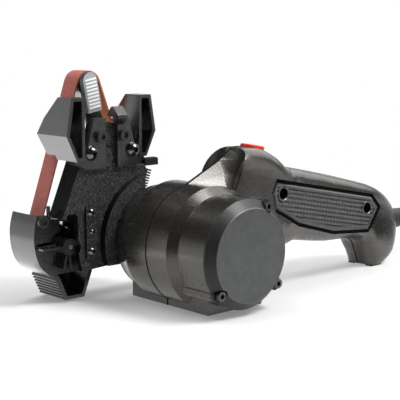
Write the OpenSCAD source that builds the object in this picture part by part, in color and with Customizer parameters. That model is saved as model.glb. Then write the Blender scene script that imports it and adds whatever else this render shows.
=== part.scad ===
// Electric knife sharpener: a belt cassette on a drum-shaped motor with a moulded handle.
// The origin is on the floor, under the motor axis, in the plane of the housing seam.
// +X runs along the handle, +Y along the motor axis towards the belt, and +Z is up.

/* [Motor housing] */
// Height of the motor axis above the floor
axis_z = 33.6; // [33:0.1:36]
// Radius of the widest drum
drum_r = 34.7; // [34:0.1:35.5]
// Length of the drum in front of the seam
drum_front = 17; // [14:0.5:20]
// Length of the drum behind the seam
drum_back = 17.5; // [15:0.5:20]
// Length of the bevel between drum and barrel
drum_bevel = 5; // [3:0.5:6]
// Radius of the barrel in front of the drum
barrel_r = 30.5; // [30:0.1:32]
// Length of the barrel in front of the bevel
barrel_len = 20; // [18:0.5:24]
// Thickness of the end cap
cap_t = 6; // [5:0.5:8]
// Length of the end cap's straight rim
cap_rim = 1; // [0.5:0.1:2]
// Radius of the end cap's flat face
cap_face_r = 25.7; // [24:0.1:27]
// Radius of the nose behind the drum
nose_r = 30.7; // [29.5:0.1:32]
// Length of the nose taper behind the drum
nose_taper = 11; // [8:0.5:12]
// Length of the straight nose
nose_len = 2.5; // [1:0.5:4]
// Reach of the flat base on the cassette's side
base_left = 19; // [16:0.5:22]
// Reach of the flat base on the handle's side
base_right = 22; // [18:0.5:24]
// Length of the base in front of the seam
base_front = 33.6; // [28:0.1:36]
// Thickness of the rubber foot pads
pad_t = 1; // [0.6:0.1:1.4]
// Radius of the round space for the motor
cavity_r = 26.5; // [25:0.1:27]

/* [Handle] */
// Half width of the handle in the hand
grip_half_w = 17; // [15:0.1:19]
// Squareness of the handle's cross-section
grip_square = 3.2; // [2.4:0.1:4]
// Depth of the grip panels' recess below the widest point
panel_sink = 2.6; // [2.2:0.1:3.4]
// Thickness of a grip panel
panel_t = 1.9; // [1.2:0.1:2.2]
// Gap around a grip panel
panel_gap = 2.2; // [0.4:0.1:1.2]
// Radius of the handle screws' access holes
access_r = 3.5; // [2.6:0.1:3.2]

/* [Power button] */
// Length of the power button
button_l = 16.2; // [14:0.5:20]
// Width of the power button
button_w = 10.5; // [8:0.5:11]
// How far the button stands out of the housing
button_rise = 1; // [0.8:0.1:2]
// Travel of the button
button_travel = 2.5; // [1.5:0.1:3]

/* [Shaft] */
// Radius of the motor shaft
shaft_r = 4; // [3:0.1:5]
// Running clearance of pins and shafts in their holes
run_gap = 0.05; // [0.02:0.01:0.08]
// Outer radius of the shaft bearings
bearing_r = 9; // [8:0.1:10]
// Length of the shaft bearings
bearing_l = 6; // [5:0.5:7]
// Outer radius of the rotor core
rotor_r = 19.6; // [17:0.1:20]

/* [Belt] */
// Width of the abrasive belt
belt_w = 12.7; // [10:0.1:15]
// Thickness of the abrasive belt
belt_t = 0.9; // [0.6:0.1:1.2]
// Distance of the belt's near edge behind the seam
belt_y = 54; // [53.6:0.1:56]
// Radius of the drive pulley
drive_r = 8.7; // [8:0.1:10]
// Radius of the idler pulley
idler_r = 11.4; // [10:0.1:12.5]
// Radius of the tension pulley
tension_r = 7.3; // [7:0.1:8]
// Distance of the idler from the motor axis
idler_dx = 57.5; // [55:0.1:59]
// Distance of the tension pulley from the motor axis, towards the idler
tension_dx = 31.5; // [30:0.1:33]
// Height of the tension pulley above the motor axis
tension_dz = 88.7; // [86:0.1:91]

/* [Cassette] */
// Radius of the spigot that carries the cassette
spigot_r = 18; // [16:0.1:20]
// Gap between the motor's nose and the cassette's hub
hub_gap = 1; // [0.6:0.1:1.5]
// Thickness of the hub in front of the frame plate
hub_t = 4.5; // [3:0.1:6]
// Radius of the hub's large shoulder
shoulder_r = 38; // [36:0.1:40]
// Thickness of the frame plate
plate_t = 3; // [2.4:0.1:4]
// Depth of the frame's side wall, from the front of the plate
side_wall = 13.5; // [8:0.5:14]
// Thickness of the moulded cover's walls
cover_t = 2.5; // [2:0.1:3]
// Width of the lower cover's skin
cover_w = 24.5; // [23:0.1:28]

/* [Knife guides] */
// Distance from the middle to each guide's inner face
slot_half = 19.2; // [18.5:0.1:21]
// Height of the guides' top edge above the floor
guide_top = 117; // [114:0.5:119]
// Thickness of the guides' walls
guide_t = 2; // [1.6:0.1:2.6]
// Thickness of the guides' mounting flanges
flange_t = 2.7; // [2:0.1:3]

/* [Mains lead] */
// Diameter of the lead
cord_d = 6.3; // [5.5:0.1:6.4]
// Spacing of the coil's turns
cord_pitch = 6.9; // [6.9:0.1:7.4]
// Number of turns in the coil
cord_turns = 7.25; // [5.25:1:8.25]
// Radius of the coil's smallest turn
coil_min_r = 25.6; // [25:0.1:30]
// Length of the strain relief outside the handle
relief_l = 38; // [30:1:50]

/* [Hidden] */
$fn = 64;

// Small clearance between fixed pieces, and the overlap of a cut past a face
fit_gap = 0.1;
cut = 1;

// Stations along the motor axis
cap_y = -drum_front - drum_bevel - barrel_len;
nose_y = drum_back + nose_taper + nose_len;
hub_y = nose_y + hub_gap;
plate_y = hub_y + hub_t;
plate_back = plate_y + plate_t;
spigot_end = plate_back + 2.5;

// Stations of the motor's inner pieces
rear_bearing_y = cap_y - 1;
front_bearing_y = nose_y - bearing_l;
fan_y = cap_y + bearing_l + 1;
fan_l = 5;
rotor_y = fan_y + fan_l + 2;
rotor_l = 32;
stator_y = rotor_y + 1;
stator_l = rotor_l - 2;
commutator_y = rotor_y + rotor_l + 2;
commutator_l = 9;
commutator_r = 8;
brush_y = commutator_y + commutator_l;
stator_in_r = rotor_r + 0.9;
bearing_seat_r = bearing_r + fit_gap;
cap_boss_r = bearing_r + 3;
shaft_bore_r = shaft_r + run_gap;
shaft_end = belt_y + belt_w;

// End cap screws
cap_screw_angles = [62, 222, 319];
cap_screw_pcr = barrel_r - 1.8;
cap_screw_head_r = 2.7;
cap_screw_head_h = 3;
cap_screw_r = 1.5;
cap_screw_l = 12;
cap_ledge = 2.2;
cap_boss_side_r = 4;

// Handle loft: lower X, lower Z, upper X, upper Z, half width as a share of the grip's
handle_stations = [
    [9.3, 46, 29.3, 86, 0.98],
    [20, 38, 34, 86.7, 1.02],
    [33, 30, 41, 86.2, 1.03],
    [46, 25, 48.5, 84.9, 1.03],
    [58, 23, 57.5, 80.6, 1.03],
    [63.5, 24, 63.5, 75.8, 1.03],
    [68, 25, 68.5, 72.4, 1.02],
    [74, 26.4, 74, 71.3, 1.02],
    [82, 25.4, 82, 69.8, 1.01],
    [105, 22, 105, 64.8, 1],
    [130, 20.8, 130, 59, 0.99],
    [139.5, 17.5, 152, 52.6, 0.97],
    [143, 11, 167.5, 42.2, 0.92],
    [145, 7, 175.5, 27, 0.84],
    [146.5, 3.5, 173.5, 10, 0.76],
    [147.5, pad_t, 162, pad_t, 0.66]];
// The tower's front leans back and is hollowed, with a web in the middle that runs down to a gabled roof
tower_lean = 26.5;
tower_foot = [9.3, 46];
hollow_depth = 2;
hollow_half_w = 7.5;
hollow_y = 8.5;
roof_start = [-4.8, 68.3];
roof_rise = 0.466;
roof_fall = 1.61;
roof_x = [-9, 27];
roof_low_z = 58;
web_rows = [[3, 62, 12], [13, 72, 8.5], [20.3, 80, 7.5], [24.9, 83, 6], [29.3, 86, 1]];
loft_steps = 3;
loft_sides = 14;
panel_outline = [[51.5, 66.5], [48, 60], [51, 48.8], [71.5, 38], [104.5, 29], [138, 26], [148.2, 40.6],
    [141, 48.6]];
handle_screw_at = [[57.9, 58.1], [136, 41.1]];
panel_floor = grip_half_w - panel_sink;
screw_seat = 6;
screw_head_r = access_r - 0.2;
screw_head_h = 2.6;
screw_r = 1.5;
screw_depth = 9;

// Foot pads under the base and the handle's foot: low and high X, low and high Y
pads = [[[-14, 17], [-29, 26]], [[148.5, 159], [-10.5, -5.5]], [[148.5, 159], [4, 9]]];

// Power button frame
button_at = [47.4, 0, 84.9];
button_tilt = 11;
button_h = 8.5;
button_lip = 0.8;
button_lip_h = 1.5;
button_gap = 0.3;
button_spring_l = button_travel + 2;
switch_size = [15, 10, 10];
switch_top = button_rise - button_h - button_spring_l;

// Mains lead
relief_at = [170, 0, 27];
relief_sunk = 8;
relief_r = 7.1;
relief_tip_r = cord_d / 2 + 1.3;
tie_t = 1.2;
tie_w = 9;
coil_low_z = tie_t + cord_d / 2 + 0.2;
coil_half_turns = cord_turns / 2;
coil_out_r = coil_min_r + cord_pitch * coil_half_turns;
coil_centre = [222, -86];
lead_end = [coil_centre[0] + coil_out_r, coil_centre[1] + cord_d];
lead_route = [
    [relief_at[0] + relief_sunk + relief_l, 0, relief_at[2]],
    [relief_at[0] + relief_sunk + relief_l + 8, 0, 27],
    [240, 0, 26],
    [251, -4, 23],
    [261, -12, 18.5],
    [268, -23, 13.5],
    [272, -36, 9],
    [274, -50, 6],
    [lead_end[0], -64, coil_low_z + 0.4],
    [lead_end[0], lead_end[1] + cord_d, coil_low_z],
    [lead_end[0], lead_end[1], coil_low_z]];
plug_sleeve_l = 18;
plug_body_l = 27;
plug_body_r = 11;
blade_size = [17, 1.5, 6.3];
blade_spacing = 12.7;

// Belt run
drive_at = [0, axis_z];
idler_at = [-idler_dx, axis_z];
tension_at = [-tension_dx, axis_z + tension_dz];
belt_gap = 0.25;
pulley_side = 0.25;
pulley_y = belt_y - pulley_side;
pulley_w = belt_w + 2 * pulley_side;
pulley_rim = 2.2;
pin_r = 2.5;
idler_pin_r = 3;
pin_head_h = 1.5;
pin_head_gap = 0.3;

// Tension lever
lever_t = 1.8;
lever_y = belt_y - 0.8 - lever_t;
pivot_at = [-19, axis_z + 52.4];
pivot_eye_r = 4.6;
axle_eye_r = 5.6;
pad_lean = 11;
pad_shift = [-3.3, 2.9];
pad_half_w = 4.9;
pad_len = 18.1;
pad_plate_t = 3.4;
pad_ribs = 9;
tail_top = 77.8;
tail_end = 15.7;
tail_h = 4.6;
tail_low = tail_top - tail_h;
spring_foot_x = 5.6;
spring_lean = 19;
spring_r = 3;
spring_wire_r = 0.55;
spring_turns = 7.5;
spring_post_r = 2.2;
ring_out_r = spigot_r + 2.4;
spring_post_gap = 0.5;
spring_post_z = axis_z + sqrt(pow(ring_out_r + spring_post_r + spring_post_gap, 2) - pow(spring_foot_x, 2));
spring_end_room = spring_r * sin(spring_lean) + spring_wire_r + 2 * fit_gap;
spring_low = spring_post_z + spring_post_r + spring_end_room;
spring_high = tail_low - spring_end_room;
spring_head_x = spring_foot_x + (spring_high - spring_low) * tan(spring_lean);

// Knife guides, measured from the middle between them
guide_low = guide_top - 35.5;
guide_vertex = [31.7, guide_top - 21];
guide_front = plate_y - flange_t - 1;
guide_back = belt_y + 7.5;
flange_y = plate_y - flange_t;
flange_top = guide_top - 12;
flange_low = guide_top - 40.5;
flange_in = 4.2;
flange_outline = [[flange_in, flange_top], [12.4, flange_top], [16.4, flange_top - 15],
    [slot_half + 0.5, flange_top - 17], [24, guide_low - 1], [18.4, flange_low], [flange_in, flange_low]];
dome_r = 4.3;
guide_screw_dx = slot_half - dome_r - fit_gap;
guide_screw_z = guide_top - 31;
cap_screw_dx = 8.1;
cap_screw_z = guide_top - 22.4;
dome_h = 4.1;
socket_head_r = 3.4;
socket_head_h = 2.8;
belt_slot_y = belt_y - 2;
belt_slot_top = guide_top - 18;
belt_slot_x = [-26, -10];
stop_x = [1.3, 8.9];
stop_reach = 4.2;
stop_grip = 4.5;
stop_peak = 6.2;

// Frame plate outline, from the guides' seat down the right and back up the left
frame_mid = -31;
frame_low_z = 18.8;
frame_left_x = idler_at[0] + 3;
frame_top_z = guide_top - 15;
frame_neck_z = flange_low - 0.5;
cover_top_z = axis_z + 15.3;
frame_step_z = cover_top_z + 3.3;
wall_lean = 0.417;
function wall_x(z) = frame_mid - 22 + wall_lean * (z - frame_neck_z);
wall_high = guide_low - 3 * fit_gap;
side_wall_t = 2.4;
wall_low = cover_top_z + side_wall_t * sin(atan(wall_lean)) + 4 * fit_gap;
side_wall_path = [[wall_x(wall_high), wall_high], [wall_x(wall_low), wall_low]];
return_wall_path = [[frame_left_x, frame_step_z], [frame_left_x, axis_z + 10]];
frame_outline = [[frame_mid + 13, frame_top_z], [frame_mid + 17.5, frame_neck_z], [-11, 60], [-20, 20.5],
    [frame_left_x + 3.5, frame_low_z], [frame_left_x, axis_z + 2.4], [frame_left_x, frame_step_z],
    [wall_x(frame_step_z), frame_step_z], side_wall_path[0],
    [frame_mid - slot_half + 3 * fit_gap, wall_high], [frame_mid - 13.5, frame_top_z]];
return_wall_t = 2;
left_rim_w = 2.6;

// Set-back wing of the plate in front of the spring, and the rib between the guides' flanges
wing_step = 1;
wing_outline = [[-13, 56], [-5, 56], [-4.7, 63], [-2, 72], [-4, frame_neck_z], [-14, frame_neck_z]];
rib_x = [frame_mid - flange_in + 2 * fit_gap, frame_mid + 0.4];
rib_z = [flange_low + 1, guide_top - 29];
rib_rise = 2;
bar_x = -45.2;
bar_w = 7;
bar_z = [26, 56];
bar_rise = 1.5;
cover_screw_z = [30, 41.2, 52.2];
cover_screw_head_r = [2.4, 1.7, 2.4];
shoulder_cut_z = 20.5;

// Lower cover: outer skin from its top edge round the idler, then the ribbed foot
cover_gap = 6.3;
cover_y = plate_back + cover_gap;
cover_back = cover_y + cover_w;
cover_shape = [[-16.8, 18.4], [-18.7, 11.4], [-19.2, 4.4], [-18.1, -3.6], [-15.2, -10.6], [-10.2, -15.6],
    [-4.8, -19.1]];
cover_curve = [for (p = cover_shape) idler_at + p];
foot_z = 1.4;
foot_tip = [idler_at[0] + 1.2, foot_z];
foot_heel = [bar_x + 2.2, foot_z];
foot_top = [bar_x + 8.2, 16.5];
foot_open_z = axis_z - 16;
foot_ribs = 7;
foot_rib_r = 0.7;
cover_right_x = bar_x + 5.2;
boss_r = 4.65;
boss_y = plate_y + 2;
boss_wall = 1.2;
boss_rib_t = 1.2;
boss_ribs = [[180, 18], [254, 13.5], [276, 13.5]];
centre_screw_r = 1.3;
rim_screw_at = idler_at + [-14, 14.8];
rim_screw_l = 6;
keyhole_shape = [[-1.7, 17], [-1.7, 7.6], [-4.2, 7.2], [-6.4, 5.8], [-7.7, 3], [-17.3, 2.5], [-17.6, 1],
    [-6.5, 1], [-5.2, 3.2], [-3.4, 5], [-0.5, 6], [3, 5.8], [5.5, 9.4], [5.5, 17]];
pin_at = idler_at + [-8.5, 15];
pin_l = 8;
top_pin_r = 1.1;

// X and Z of the end cap screw at angle a
function cap_screw_at(a) = [cap_screw_pcr * cos(a), axis_z + cap_screw_pcr * sin(a)];

// Points on a smooth curve through p, n steps between each pair
function spline(a, b, c, d, t) =
    0.5 * (2 * b + (c - a) * t + (2 * a - 5 * b + 4 * c - d) * t * t + (3 * b - a - 3 * c + d) * t * t * t);
function smooth(p, n) = concat(
    [for (i = [0 : len(p) - 2], j = [0 : n - 1])
        spline(p[max(i - 1, 0)], p[i], p[i + 1], p[min(i + 2, len(p) - 1)], j / n)],
    [p[len(p) - 1]]);
function unit(v) = v / norm(v);
function backwards(p) = [for (i = [len(p) - 1 : -1 : 0]) p[i]];

// Direction of a path at point i
function heading(p, i) = unit(p[min(i + 1, len(p) - 1)] - p[max(i - 1, 0)]);

// Outline of a strip of thickness t on the left of a flat path
function beside(p, t) = [for (i = [0 : len(p) - 1]) let (h = heading(p, i)) p[i] + t * [-h[1], h[0]]];
function strip(p, t) = concat(p, backwards(beside(p, t)));
function below(p, z) = [for (q = p) if (q[1] < z) q];

// Triangles that skin rings of n points, with flat ends
function skin_faces(rings, n) = concat(
    [for (i = [0 : rings - 2], k = [0 : n - 1])
        let (a = i * n + k, b = i * n + (k + 1) % n) [a, b, a + n]],
    [for (i = [0 : rings - 2], k = [0 : n - 1])
        let (a = i * n + k, b = i * n + (k + 1) % n) [b, b + n, a + n]],
    [for (k = [1 : n - 2]) [0, k + 1, k]],
    [for (k = [1 : n - 2]) let (e = (rings - 1) * n) [e, e + k, e + k + 1]]);

// A round tube along a path that is never vertical
module tube(path, r, sides) {
    points = [for (i = [0 : len(path) - 1], k = [0 : sides - 1])
        let (h = heading(path, i), s = unit(cross(h, [0, 0, 1])), u = cross(s, h),
            a = 360 * (k + 0.5) / sides)
            path[i] + r * (cos(a) * s + sin(a) * u)];
    polyhedron(points, skin_faces(len(path), sides));
}

// Least distance between points of a wound path that are over half a turn apart
function least_gap(p, skip, d) =
    min([for (i = [0 : len(p) - 1 - skip], j = [i + skip : len(p) - 1]) norm(p[i] - p[j])]) - d;

// A helix about Z, as points
function helix(r, low, high, turns, rings) = [for (i = [0 : turns * rings])
    let (a = 360 * i / rings) [r * cos(a), r * sin(a), low + (high - low) * i / (turns * rings)]];

// A flat outline in X and Z, thick from y0 to y1
module slab(y0, y1) {
    translate([0, y1, 0]) rotate([90, 0, 0]) linear_extrude(y1 - y0) children();
}

// A flat outline in Y and Z, thick from x0 to x1
module web(x0, x1) {
    translate([x0, 0, 0]) rotate([90, 0, 90]) linear_extrude(x1 - x0) children();
}

// A round rod along Y
module rod(at, y0, y1, r) {
    translate([at[0], y0, at[1]]) rotate([-90, 0, 0]) cylinder(h = y1 - y0, r = r);
}

// A turned shape about the motor axis, from radius and Y pairs
module turned(profile) {
    translate([0, 0, axis_z]) rotate([-90, 0, 0]) rotate_extrude() polygon(profile);
}

module below_floor() {
    translate([-100, -100, pad_t - 50]) cube([400, 200, 50]);
}

// Half of the handle and its switch tower, on the side of -Y, before the hollow
module handle_loft() {
    rows = smooth(handle_stations, loft_steps);
    points = [for (s = rows, k = [0 : loft_sides])
        let (t = -90 + 180 * k / loft_sides,
            up = sign(sin(t)) * pow(abs(sin(t)), 2 / grip_square),
            out = k == 0 || k == loft_sides ? 0 : pow(cos(t), 2 / grip_square))
            [(s[0] + s[2]) / 2 + up * (s[2] - s[0]) / 2, -grip_half_w * s[4] * out,
                (s[1] + s[3]) / 2 + up * (s[3] - s[1]) / 2]];
    polyhedron(points, skin_faces(len(rows), loft_sides + 1));
}

// X of the tower's leaning front at height z
function tower_x(z) = tower_foot[0] + (z - tower_foot[1]) * tan(tower_lean);

// A round hollow down the tower's front, on the side of -Y
module tower_hollow() {
    r = (hollow_half_w * hollow_half_w + hollow_depth * hollow_depth) / (2 * hollow_depth);
    ahead = (r - hollow_depth) / cos(tower_lean);
    translate([tower_foot[0] - ahead, -hollow_y, tower_foot[1]]) rotate([0, tower_lean, 0])
        cylinder(h = 60, r = r);
}

// Half of the web, from rows of ridge X, height and the half width where it meets the tower
module web_half() {
    points = [for (p = web_rows)
        let (x = tower_x(p[1]) + hollow_depth + 0.6)
            each [[x, 0, p[1]], [p[0], 0, p[1]], [x, -p[2], p[1]]]];
    polyhedron(points, skin_faces(len(web_rows), 3));
}

// Half of the gabled roof that falls from the web to the drum
module roof_half() {
    points = [for (x = roof_x)
        let (z = roof_start[1] + roof_rise * (x - roof_start[0]))
            each [[x, 0, roof_low_z], [x, -(z - roof_low_z) / roof_fall, roof_low_z], [x, 0, z]]];
    polyhedron(points, skin_faces(2, 3));
}

module handle_half() {
    difference() {
        handle_loft();
        tower_hollow();
    }
    web_half();
    roof_half();
}

module button_frame() {
    translate(button_at) rotate([0, button_tilt, 0]) children();
}

module centred_box(l, w, z0, z1) {
    translate([-l / 2, -w / 2, z0]) cube([l, w, z1 - z0]);
}

// A box with round ends
module pill(l, w, z0, z1) {
    centred_box(l - w, w, z0, z1);
    for (side = [-1, 1]) translate([side * (l - w) / 2, 0, z0]) cylinder(h = z1 - z0, r = w / 2);
}

// Well of the button and room of the switch, cut out of both shells
module switch_room() {
    lip = 2 * (button_lip + button_gap);
    lip_top = button_rise - button_h + button_lip_h;
    button_frame() {
        pill(button_l + 2 * button_gap, button_w + 2 * button_gap, switch_top, button_rise + 8);
        pill(button_l + lip, button_w + lip, switch_top, lip_top);
        centred_box(switch_size[0] + 2 * fit_gap, switch_size[1] + 2 * fit_gap, switch_top - switch_size[2],
            switch_top + cut);
    }
}

module relief_room() {
    translate(relief_at) rotate([0, 90, 0]) cylinder(h = relief_sunk + relief_l, r = relief_r + fit_gap);
}

module near_shell() {
    front = -drum_front - drum_bevel;
    color([0.13, 0.12, 0.11]) difference() {
        union() {
            turned([[0, cap_y], [barrel_r, cap_y], [barrel_r, front], [drum_r, -drum_front], [drum_r, 0],
                [0, 0]]);
            translate([-base_left, -base_front, pad_t])
                cube([base_left + base_right, base_front, axis_z - pad_t]);
            for (a = cap_screw_angles) rod(cap_screw_at(a), cap_y, -drum_front, cap_boss_side_r);
            handle_half();
        }
        below_floor();
        turned([[0, cap_y - cut], [cavity_r, cap_y - cut], [cavity_r, cut], [0, cut]]);
        switch_room();
        relief_room();
        slab(-grip_half_w * 2, -panel_floor) offset(delta = panel_gap / 2) polygon(panel_outline);
        for (s = handle_screw_at) {
            rod(s, -grip_half_w * 2, -screw_seat, access_r);
            rod(s, -screw_seat - cut, cut, screw_r + fit_gap);
        }
        for (a = cap_screw_angles)
            rod(cap_screw_at(a), cap_y - cut, cap_y - cap_ledge + cap_screw_l + cut, cap_screw_r + fit_gap);
    }
}

module far_shell() {
    color([0.13, 0.12, 0.11]) difference() {
        union() {
            turned([[0, 0], [drum_r, 0], [drum_r, drum_back], [nose_r, drum_back + nose_taper],
                [nose_r, nose_y], [spigot_r, nose_y], [spigot_r, spigot_end], [0, spigot_end]]);
            translate([-base_left, 0, pad_t]) cube([base_left + base_right, nose_y, axis_z - pad_t]);
            mirror([0, 1, 0]) handle_half();
        }
        below_floor();
        turned([[0, -cut], [cavity_r, -cut], [cavity_r, front_bearing_y], [bearing_seat_r, front_bearing_y],
            [bearing_seat_r, nose_y], [shaft_r + 2, nose_y], [shaft_r + 2, spigot_end + cut],
            [0, spigot_end + cut]]);
        ring_groove();
        switch_room();
        relief_room();
        slab(panel_floor, grip_half_w * 2) offset(delta = panel_gap / 2) polygon(panel_outline);
        for (s = handle_screw_at) rod(s, -cut, screw_depth + cut, screw_r + fit_gap);
    }
}

ring_y = plate_back + 0.3;
ring_t = 1.2;
module ring_groove() {
    turned([[spigot_r - 1.2, ring_y - fit_gap], [spigot_r + cut, ring_y - fit_gap],
        [spigot_r + cut, ring_y + ring_t + fit_gap], [spigot_r - 1.2, ring_y + ring_t + fit_gap]]);
}

module retaining_ring() {
    color("silver") turned([[spigot_r - 1.1, ring_y], [ring_out_r, ring_y], [ring_out_r, ring_y + ring_t],
        [spigot_r - 1.1, ring_y + ring_t]]);
}

module end_cap() {
    face_y = cap_y - cap_t;
    color([0.2, 0.2, 0.2]) difference() {
        union() {
            turned([[0, face_y], [cap_face_r, face_y], [barrel_r, cap_y - cap_rim], [barrel_r, cap_y],
                [cap_boss_r, cap_y], [cap_boss_r, rear_bearing_y + bearing_l],
                [bearing_seat_r, rear_bearing_y + bearing_l], [bearing_seat_r, rear_bearing_y],
                [0, rear_bearing_y]]);
            for (a = cap_screw_angles) rod(cap_screw_at(a), cap_y - cap_rim - 1.5, cap_y, cap_boss_side_r);
        }
        for (a = cap_screw_angles) {
            rod(cap_screw_at(a), face_y - cut, cap_y - cap_ledge, cap_screw_head_r + 0.8);
            rod(cap_screw_at(a), face_y - cut, cap_y + cut, cap_screw_r + fit_gap);
        }
    }
}

// A socket head screw that points along +Y, with its head in front of y
module socket_screw(at, y, head_r, head_h, shank_r, shank_l) {
    difference() {
        union() {
            rod(at, y - head_h, y, head_r);
            rod(at, y, y + shank_l, shank_r);
        }
        translate([at[0], y - head_h - cut, at[1]]) rotate([-90, 0, 0])
            cylinder(h = head_h / 2 + cut, r = head_r * 0.55, $fn = 6);
    }
}

module end_cap_screws() {
    color([0.1, 0.1, 0.1]) for (a = cap_screw_angles)
        socket_screw(cap_screw_at(a), cap_y - cap_ledge, cap_screw_head_r, cap_screw_head_h, cap_screw_r,
            cap_screw_l);
}

module panel_plate(holes) {
    difference() {
        slab(-panel_floor - panel_t, -panel_floor) offset(delta = -panel_gap / 2) polygon(panel_outline);
        for (s = holes) rod(s, -panel_floor - panel_t - cut, -panel_floor + cut, access_r);
    }
}

module grip_panel_near() {
    color([0.17, 0.17, 0.17]) panel_plate(handle_screw_at);
}

module grip_panel_far() {
    color([0.17, 0.17, 0.17]) mirror([0, 1, 0]) panel_plate([]);
}

module handle_screws() {
    color("gray") for (s = handle_screw_at)
        socket_screw(s, -screw_seat, screw_head_r, screw_head_h, screw_r, screw_seat + screw_depth);
}

module foot_pads() {
    color([0.08, 0.08, 0.08]) for (p = pads)
        translate([p[0][0], p[1][0], 0]) cube([p[0][1] - p[0][0], p[1][1] - p[1][0], pad_t]);
}

module stator() {
    outer = cavity_r - fit_gap;
    color([0.35, 0.36, 0.38]) turned([[stator_in_r, stator_y], [outer, stator_y],
        [outer, stator_y + stator_l], [stator_in_r, stator_y + stator_l]]);
}

module brush_plate() {
    hole_r = commutator_r + 3;
    plate_l = front_bearing_y - brush_y;
    color([0.4, 0.3, 0.2]) {
        turned([[hole_r, brush_y], [cavity_r - fit_gap, brush_y], [cavity_r - fit_gap, brush_y + plate_l],
            [hole_r, brush_y + plate_l]]);
        for (side = [0, 180]) translate([0, 0, axis_z]) rotate([0, side, 0])
            translate([commutator_r + 0.4, commutator_y + 1.5, -3]) cube([9, commutator_l, 6]);
    }
}

module bearing(y) {
    turned([[shaft_bore_r, y], [bearing_r, y], [bearing_r, y + bearing_l], [shaft_bore_r, y + bearing_l]]);
}

module rear_bearing() {
    color("silver") bearing(rear_bearing_y);
}

module front_bearing() {
    color("silver") bearing(front_bearing_y);
}

module switch_block() {
    color([0.1, 0.1, 0.12]) button_frame()
        centred_box(switch_size[0], switch_size[1], switch_top - switch_size[2], switch_top);
}

// The button's crown dips towards the handle, where the thumb lies
module power_button() {
    dip_r = 16;
    color([0.8, 0.12, 0.06]) button_frame() difference() {
        union() {
            pill(button_l, button_w, button_rise - button_h, button_rise);
            pill(button_l + 2 * button_lip, button_w + 2 * button_lip, button_rise - button_h,
                button_rise - button_h + button_lip_h - button_gap);
        }
        translate([button_l / 5, 0, button_rise + dip_r - 1]) rotate([90, 0, 0])
            cylinder(h = button_w - 3, r = dip_r, center = true);
    }
}

module button_spring() {
    wire_r = 0.4;
    low = switch_top + wire_r + fit_gap;
    high = switch_top + button_spring_l - wire_r - fit_gap;
    color("silver") button_frame() tube(helix(3, low, high, 3, 8), wire_r, 6);
}

module strain_relief() {
    color([0.07, 0.07, 0.07]) difference() {
        translate(relief_at) rotate([0, 90, 0]) {
            cylinder(h = relief_sunk, r = relief_r);
            translate([0, 0, relief_sunk]) cylinder(h = relief_l, r1 = relief_r, r2 = relief_tip_r);
        }
        for (i = [0 : 4], a = [0, 90]) translate([relief_at[0] + relief_sunk + 5 + 6 * i, 0, relief_at[2]])
            rotate([a, 0, 0]) for (side = [-1, 1]) translate([0, 0, side * (relief_r + 3 - 0.45 * i)])
                cylinder(h = 7, r = 1.4, center = true);
    }
}

module cord_lead() {
    color([0.07, 0.07, 0.07]) tube(smooth(lead_route, 3), cord_d / 2, 8);
}

// The coil spirals in and out again at a steady rate, and climbs a layer in its middle half turn
function coil_point(turn) =
    let (r = coil_min_r + cord_pitch * abs(turn - coil_half_turns),
        climb = min(max((turn - coil_half_turns + 0.25) / 0.5, 0), 1))
    [coil_centre[0] + r * cos(360 * turn), coil_centre[1] - r * sin(360 * turn),
        coil_low_z + cord_pitch * climb];
coil_rings = 24;
coil_turns = [for (i = [0 : cord_turns * coil_rings]) coil_point(i / coil_rings)];
coil_last = coil_turns[len(coil_turns) - 1];
coil_path = concat([[lead_end[0], lead_end[1], coil_low_z]], coil_turns, [coil_last - [cord_d, 0, 0]]);
echo(least_coil_gap = least_gap(coil_turns, coil_rings / 2, cord_d));

module cord_coil() {
    color([0.07, 0.07, 0.07]) tube(coil_path, cord_d / 2, 6);
}

// A flat band round all the turns on one side of the coil
module cord_tie() {
    low_r = coil_min_r - cord_d / 2 - 0.6;
    high_r = coil_out_r + cord_d / 2 + 0.6;
    high_z = coil_low_z + cord_pitch + cord_d / 2 + 0.3;
    color([0.15, 0.15, 0.16]) translate([coil_centre[0], coil_centre[1], 0]) rotate([90, 0, 140])
        linear_extrude(tie_w, center = true) difference() {
            translate([low_r - tie_t, 0]) square([high_r - low_r + 2 * tie_t, high_z + tie_t]);
            translate([low_r, tie_t]) square([high_r - low_r, high_z - tie_t]);
        }
}

module plug_frame() {
    translate(coil_last - [cord_d, 0, 0]) rotate([0, -90, 0]) children();
}

module plug() {
    color([0.08, 0.08, 0.08]) plug_frame() difference() {
        union() {
            cylinder(h = plug_sleeve_l, r1 = cord_d / 2 + 0.6, r2 = cord_d / 2 + 2.2);
            translate([0, 0, plug_sleeve_l])
                cylinder(h = plug_body_l / 2, r1 = cord_d / 2 + 2.2, r2 = plug_body_r);
            translate([0, 0, plug_sleeve_l + plug_body_l / 2]) cylinder(h = plug_body_l / 2, r = plug_body_r);
        }
        for (side = [-1, 1]) blade(side, fit_gap);
    }
}

module blade(side, grow) {
    seat = 6;
    translate([-blade_size[2] / 2 - grow, side * blade_spacing / 2 - blade_size[1] / 2 - grow,
        plug_sleeve_l + plug_body_l - seat])
        cube([blade_size[2] + 2 * grow, blade_size[1] + 2 * grow, blade_size[0] + seat]);
}

module plug_blades() {
    color("gold") plug_frame() for (side = [-1, 1]) blade(side, 0);
}

module motor_shaft() {
    color("silver") rod(drive_at, rear_bearing_y + 0.5, shaft_end, shaft_r);
}

module rotor_core() {
    slots = 12;
    slot_w = 2.4;
    slot_in = rotor_r * 0.6;
    color([0.5, 0.35, 0.2]) difference() {
        turned([[shaft_r, rotor_y], [rotor_r, rotor_y], [rotor_r, rotor_y + rotor_l],
            [shaft_r, rotor_y + rotor_l]]);
        for (i = [0 : slots - 1]) translate([0, 0, axis_z]) rotate([0, 360 * i / slots, 0])
            translate([slot_in, rotor_y - cut, -slot_w / 2]) cube([rotor_r, rotor_l + 2 * cut, slot_w]);
    }
}

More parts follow.
